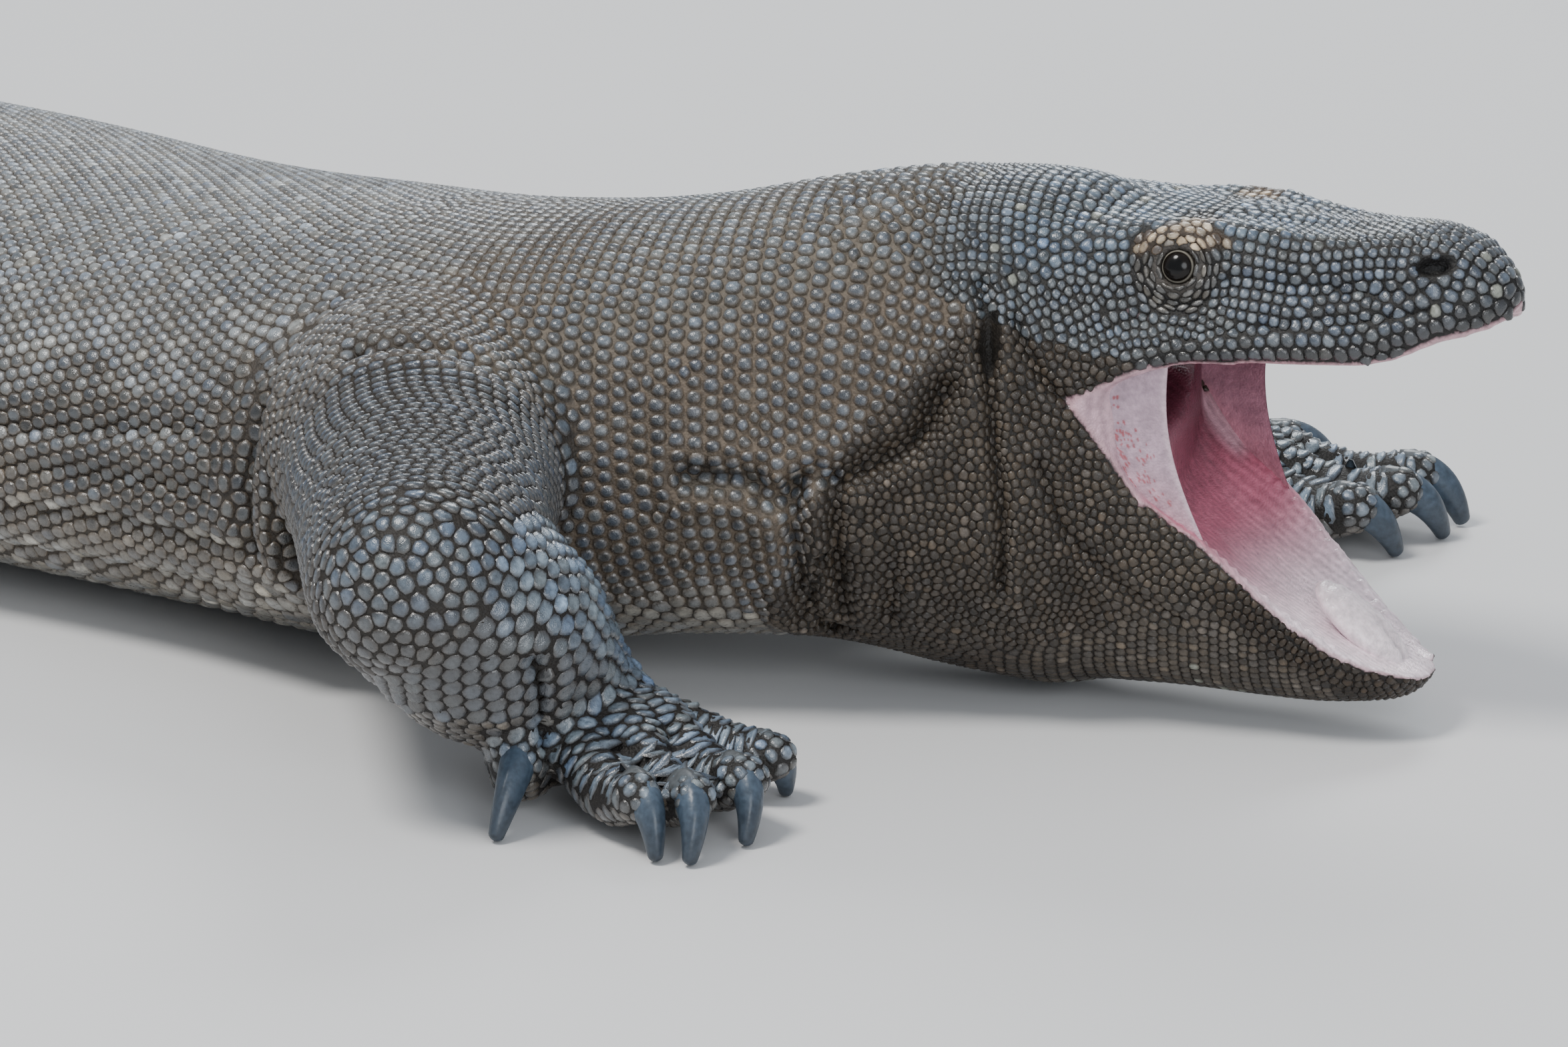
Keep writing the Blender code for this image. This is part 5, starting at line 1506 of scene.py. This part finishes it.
def cheek_grid(side, columns, rows):
    """The cheek's skin between the lips, hollow in front, as a grid of places."""
    upper_rows = smooth_rows([[x, *outline[4]] for x, *outline in UPPER_HEAD[3:7]], 6)
    lower_rows = smooth_rows([[x, *outline[3]] for x, *outline in LOWER_JAW[1:6]], 6)
    front = upper.to_3x3() @ Vector((1, 0, 0)) + lower.to_3x3() @ Vector((1, 0, 0))
    jaws = ((upper, upper_rows, UPPER_CHEEK, 1), (lower, lower_rows, LOWER_CHEEK, -1))
    grid = np.zeros((columns + 1, rows + 1, 3))
    for i in range(columns + 1):
        share = i / columns
        ends = []
        for matrix, table, reach, root in jaws:
            x = CHEEK_BACK + (reach - CHEEK_BACK) * share
            y, z = (np.interp(x, table[:, 0], table[:, k]) for k in (1, 2))
            ends.append(matrix @ Vector((x, side * (y - 4.0), z + root * CHEEK_ROOT)))
        for j in range(rows + 1):
            hollow = CHEEK_HOLLOW * share * math.sin(math.pi * j / rows) / 2
            grid[i, j] = ends[0].lerp(ends[1], j / rows) - front * hollow
    return grid


def red_dots(i, j, grid):
    """Small red dots scattered over the lower part of the cheek, as a share at each place."""
    spots = random.random((420, 4))
    dense = 0.20 + 0.80 * ramp(spots[:, 1], 0.3, 0.55) - 0.6 * ramp(spots[:, 0], 0.6, 1.0)
    spots = spots[spots[:, 2] < dense]
    at = np.stack([0.16 + 0.70 * spots[:, 0], 0.16 + 0.72 * spots[:, 1]], 1)
    radius = (0.0002 + 0.0005 * spots[:, 3] ** 2) * (1.4 - at[:, 0])
    wide, tall = np.linalg.norm(grid[-1, 48] - grid[0, 48]), np.linalg.norm(grid[50, -1] - grid[50, 0])
    gaps = np.hypot((i[:, None] - at[:, 0]) * wide, (j[:, None] - at[:, 1]) * tall)
    return 1 - ramp((gaps - radius).min(1), 0.0, 0.0003)


def membrane(name, side, shade):
    """The soft skin between the jaws, rising from the mouth's corner to a hollow, rolled front edge."""
    columns, rows = 110, 120
    grid = cheek_grid(side, columns, rows)
    across = np.array(head_frame(0).to_3x3() @ Vector((0, 1, 0))) * side
    i, j = np.meshgrid(np.arange(columns + 1) / columns, np.arange(rows + 1) / rows, indexing="ij")
    folds = 0.0009 * np.sin(26 * i + 3 * np.sin(5 * j)) * np.sin(math.pi * j) * ramp(i, 0.05, 0.3)
    dip = -0.0018 * np.sin(math.pi * j) * np.sin(math.pi * i)
    half = CHEEK_THICKNESS / 2000 * (0.75 + 0.35 * ramp(i, 0.9, 1.0))
    outside, inside = (grid + across * (way * half + folds + dip)[..., None] for way in (1, -1))
    outside, inside = outside.reshape(-1, 3), inside.reshape(-1, 3)
    wide, count = rows + 1, len(outside)
    a, b = np.meshgrid(np.arange(columns), np.arange(rows), indexing="ij")
    quads = [a * wide + b, a * wide + b + 1, (a + 1) * wide + b + 1, (a + 1) * wide + b]
    quads = np.stack(quads, -1).reshape(-1, 4)
    rim = [c * wide for c in range(columns + 1)] + [columns * wide + r for r in range(1, wide)]
    rim += [c * wide + rows for c in range(columns - 1, -1, -1)] + list(range(rows - 1, 0, -1))
    walls = np.array([(p, count + p, count + q, q) for p, q in zip(rim, rim[1:] + rim[:1])])
    faces = np.concatenate([quads, quads[:, ::-1] + count, walls])
    points = np.vstack([outside, inside])
    replaced = (name.replace("membrane", "cheek"),)
    made = piece(name, points, faces[:, ::-1] if side < 0 else faces, shade, replaced)
    i, j = i.reshape(-1), j.reshape(-1)
    greyer = ramp(i, 0.15, 0.45) * (1 - 0.45 * ramp(j, 0.55, 0.95))
    within = blend(np.array((0.54, 0.27, 0.31)), (0.47, 0.33, 0.40), greyer)
    within = within * (0.80 + 0.36 * hash_noise(outside, 0.0045, 5))[:, None]
    mix = blend(within, (0.36, 0.045, 0.055), red_dots(i, j, grid) * 0.8)
    mix = blend(mix, (0.62, 0.46, 0.52), ramp(i, 0.93, 1.0))
    colour_points(made.data, "Col", np.vstack([mix, within * np.array([[1.15, 0.88, 0.92]])]))


def tongue_piece(shade):
    """The pale sheath on the mouth's floor, notched in front."""
    points, tris = loft(ball_rings(TONGUE_AT, TONGUE_HALF, count=36, sides=48))
    rel = (points - np.array(TONGUE_AT)) / np.array(TONGUE_HALF)
    groove = bell(rel[:, 1], 0, 0.16) * ramp(rel[:, 0], -0.3, 0.6) * (rel[:, 2] > 0)
    points[:, 2] -= 1.6 * groove
    points[:, 2] += 0.35 * np.sin(points[:, 0] * 1.1) * (rel[:, 2] > 0.2)
    points = local(lower, points)
    made = piece("tongue_sheath", points, tris, shade, ("tongue",))
    mix = np.array([[0.94, 0.82, 0.86]]) * (0.85 + 0.25 * hash_noise(points, 0.004, 8))[:, None]
    # Painted shade in the groove along the sheath.
    colour_points(made.data, "Col", mix * (1 - 0.25 * groove[:, None]))


def claw_piece(name, points, shade):
    """A curved claw with a keel above, from inside its digit to a rounded tip near the ground."""
    knuckle, root, tip = points
    ahead = root - knuckle
    ahead.z = 0
    ahead.normalize()
    tip = tip + Vector((0, 0, 0.0024))
    start = root + Vector((0, 0, 0.001)) - ahead * CLAW_ROOT
    bend = root + ahead * 0.42 * (tip - root).length + Vector((0, 0, 0.003))
    steps, sides = 18, 24
    shares = [i / steps for i in range(steps + 1)]
    middles = [(1 - t) ** 2 * start + 2 * t * (1 - t) * bend + t**2 * tip for t in shares]
    rings = []
    for i, centre in enumerate(middles):
        radius = CLAW_RADIUS * 1.10 * (1 - 0.60 * shares[i] ** 1.9)
        along = (middles[min(i + 1, steps)] - middles[max(i - 1, 0)]).normalized()
        side = along.cross(Vector((0, 0, 1))).normalized()
        up = side.cross(along)
        ring = []
        for a in round_ways(sides):
            keel = 1 + 0.07 * math.exp(-((a - math.pi / 2) ** 2) / 0.12)
            keel -= 0.05 * math.exp(-((a - 1.5 * math.pi) ** 2) / 0.3)
            ring.append(centre + radius * keel * (0.86 * math.cos(a) * side + math.sin(a) * up))
        rings.append(ring)
    end = middles[-1]
    way = (end - middles[-2]).normalized() * radius
    for far, shrink in ((0.28, 0.86), (0.50, 0.55), (0.60, 0.22)):
        rings.append([end + (Vector(p) - end) * shrink + way * far for p in rings[steps]])
        shares.append(1.0)
    body, tris = loft(rings)
    body[:, 2] = np.maximum(body[:, 2], LOWEST)
    made = piece(name + "_horn", body, tris, shade, (name,))
    t = np.concatenate([np.repeat(shares, sides), [0.0, 1.0]])
    mix = blend(np.array((0.062, 0.092, 0.130)), (0.034, 0.046, 0.062), ramp(t, 0.3, 1.0))
    mix = mix * (0.75 + 0.5 * hash_noise(body * np.array([0.35, 0.35, 1.0]), 0.0016, 9)[:, None])
    mix = blend(mix, (0.12, 0.115, 0.10), (1 - ramp(t, 0.18, 0.34)) * 0.6)
    colour_points(made.data, "Col", mix)


def mouth_colours(points):
    """Pink inside the mouth: a pale palate and floor, and the throat dark with painted shade."""
    v, m = local(lower_in, points), local(middle_in, points)
    floor = blend(np.array((0.56, 0.175, 0.250)), (0.95, 0.80, 0.86), ramp(v[:, 0], 62, 120))
    roof = blend(np.array((0.46, 0.180, 0.215)), (0.60, 0.36, 0.40), ramp(m[:, 0], 60, 130))
    mix = blend(roof, floor, ramp(-m[:, 2], -4, 6))
    # Painted shade: the lining darkens towards the back of the gullet.
    mix = blend(mix, (0.085, 0.016, 0.030), ramp(-m[:, 0], -46, -8))
    mix = blend(mix, (0.52, 0.33, 0.38), ramp(abs(m[:, 1]), 44, 50) * (1 - ramp(m[:, 0], 30, 40)))
    ridge = 0.82 + 0.3 * np.sin(m[:, 1] * 0.9 + 2 * hash_noise(points, 0.012, 7)) ** 2
    return mix * ridge[:, None] * (0.85 + 0.3 * hash_noise(points, 0.004, 4))[:, None]


def hide_colours(skin, weight, mouth):
    """The skin's colours: dark between scales, partly own tone and partly painted shade; pink in the mouth;
    painted shade in the nostrils; dark round the eyes.
    """
    granules = share_of(weight, "neck", "nape")
    # Between scales the skin is darker than their edges, partly painted shade at the scales' feet; tan
    # granules show on the neck and nape.
    colours = (weight @ EDGE) * (tint(skin.points) * (0.34 + 0.50 * granules))[:, None]
    colours = blend(colours, mouth_colours(skin.points), mouth)
    gum = ramp(mouth, 0.3, 0.6) * (1 - ramp(skin.mean(skin.mean(skin.mean(mouth))), 0.80, 0.99))
    colours = blend(colours, (0.50, 0.30, 0.33), gum * 0.8)
    u = local(upper_in, skin.points)
    lid = np.array((0.050, 0.043, 0.037)) * (0.8 + 0.5 * hash_noise(skin.points, 0.003, 14))[:, None]
    for side in (-1, 1):
        # Painted shade inside each nostril's pit.
        colours = blend(colours, (0.006, 0.005, 0.005), 1 - ramp(nostril_reach(u, side), 0.75, 1.15))
        colours = blend(colours, lid, 1 - ramp(eye_reach(u, side), EYE_OPENING + 3.5, EYE_OPENING + 6))
    return colours


def hide_piece(skin, weight, mouth, shade, wet):
    """The whole skin as one piece, with the wet material inside the mouth."""
    corners, sizes = skin.corners()
    made = piece("hide", skin.points, corners, shade, FLESH_NODES, sizes)
    made.data.materials.append(wet)
    tri = skin.quads[:, 2] == skin.quads[:, 3]
    order = np.concatenate([np.nonzero(~tri)[0], np.nonzero(tri)[0]])
    slot = (mouth[skin.quads[order]].mean(1) > 0.5).astype(np.int32)
    if len(made.data.polygons) == len(slot):
        made.data.polygons.foreach_set("material_index", slot)
    colour_points(made.data, "Col", hide_colours(skin, weight, mouth))


# ------------------------------------------------------------------ the scene


def area(name, place, target, size, power, colour=(1, 1, 1)):
    lamp = bpy.data.lights.new(name, "AREA")
    lamp.shape = "DISK"
    lamp.size = size
    lamp.energy = power
    lamp.color = colour
    made = bpy.data.objects.new(name, lamp)
    bpy.context.scene.collection.objects.link(made)
    made.location = place
    made.rotation_euler = (Vector(target) - Vector(place)).to_track_quat("-Z", "Y").to_euler()


target = Vector((0.1143, 0.0068, 0.0674)) + Vector(SHIFT)
turn, rise = math.radians(35), math.radians(17)
ahead = Vector((-math.sin(turn) * math.cos(rise), math.cos(turn) * math.cos(rise), -math.sin(rise)))
lens = bpy.data.cameras.new("camera")
lens.lens = 324.5
lens.sensor_width = 36
camera = bpy.data.objects.new("camera", lens)
bpy.context.scene.collection.objects.link(camera)
camera.location = target - ahead * 5.5
camera.rotation_euler = ahead.to_track_quat("-Z", "Y").to_euler()
bpy.context.scene.camera = camera

world = bpy.context.scene.world or bpy.data.worlds.new("world")
bpy.context.scene.world = world
world.use_nodes = True
sky = world.node_tree.nodes["Background"]
sky.inputs["Color"].default_value = (0.88, 0.93, 1.0, 1)
sky.inputs["Strength"].default_value = 0.55
area("key", (target[0] - 0.6, target[1] - 1.2, 2.6), target, 0.9, 62, (1.0, 0.98, 0.95))
area("fill", (target[0] + 2.2, target[1] - 1.8, 1.3), target, 1.6, 34, (0.92, 0.96, 1.0))
area("rim", (target[0] - 1.0, target[1] + 2.2, 1.8), target, 1.2, 34, (0.95, 0.98, 1.0))

pale, nodes, links, base = shader("floor")
links.new(spread_to(nodes, links, noise_node(nodes, links, 5.0), 0.74, 0.78), base.inputs["Base Color"])
base.inputs["Roughness"].default_value = 0.8
bpy.ops.mesh.primitive_circle_add(vertices=96, radius=9, fill_type="NGON", location=(0, 0, -0.0006))
floor = bpy.context.object
floor.name = "floor"
floor.data.materials.append(pale)

hide = hide_shader("hide_skin", 0.62, 900, 0.6)
shiny = (("Specular IOR Level", 0.8), ("Coat Weight", 0.35), ("Coat Roughness", 0.22))
scale_shade = hide_shader("hide_scales", 0.28, 1500, 0.25, gloss=shiny)
dull = hide_shader("jaw_scales", 0.34, 1500, 0.25, gloss=(("Specular IOR Level", 0.45),))
wet = hide_shader("mouth_skin", 0.30, 1100, 0.35, 0.18, (("Coat Weight", 0.25),))
horn = hide_shader("claw_horn", 0.34, 500, 0.12, 0.25)
ball = hide_shader("eye_ball", 0.16, 300, 0.0, 0.1, (("Specular IOR Level", 0.30),))

skin = Surface(*flesh())
bare, mouth = sculpt(skin)
axes = make_axes()
weight = zone_weights(axes, skin.points, skin.normals())[0]
hide_piece(skin, weight, mouth, hide, wet)
for side, word in ((-1, "right"), (1, "left")):
    eye_piece(f"eyeball_{word}", side, ball)
    membrane(f"membrane_{word}", side, wet)
    for kind, limb in (("fore", "hand"), ("hind", "foot")):
        for k, points in enumerate(digits_of(word, kind)):
            claw_piece(f"{limb}_{word}_claw_{k + 1}", points, horn)
tongue_piece(wet)

ground = Ground(skin, np.maximum(mouth, bare))
seeds, ups = settle(*make_seeds(axes, ground, weight @ SIZE), ground, axes)
Coat(seeds, ups, ground, axes).build_all(scale_shade, {"jaw": dull, "throat": dull})
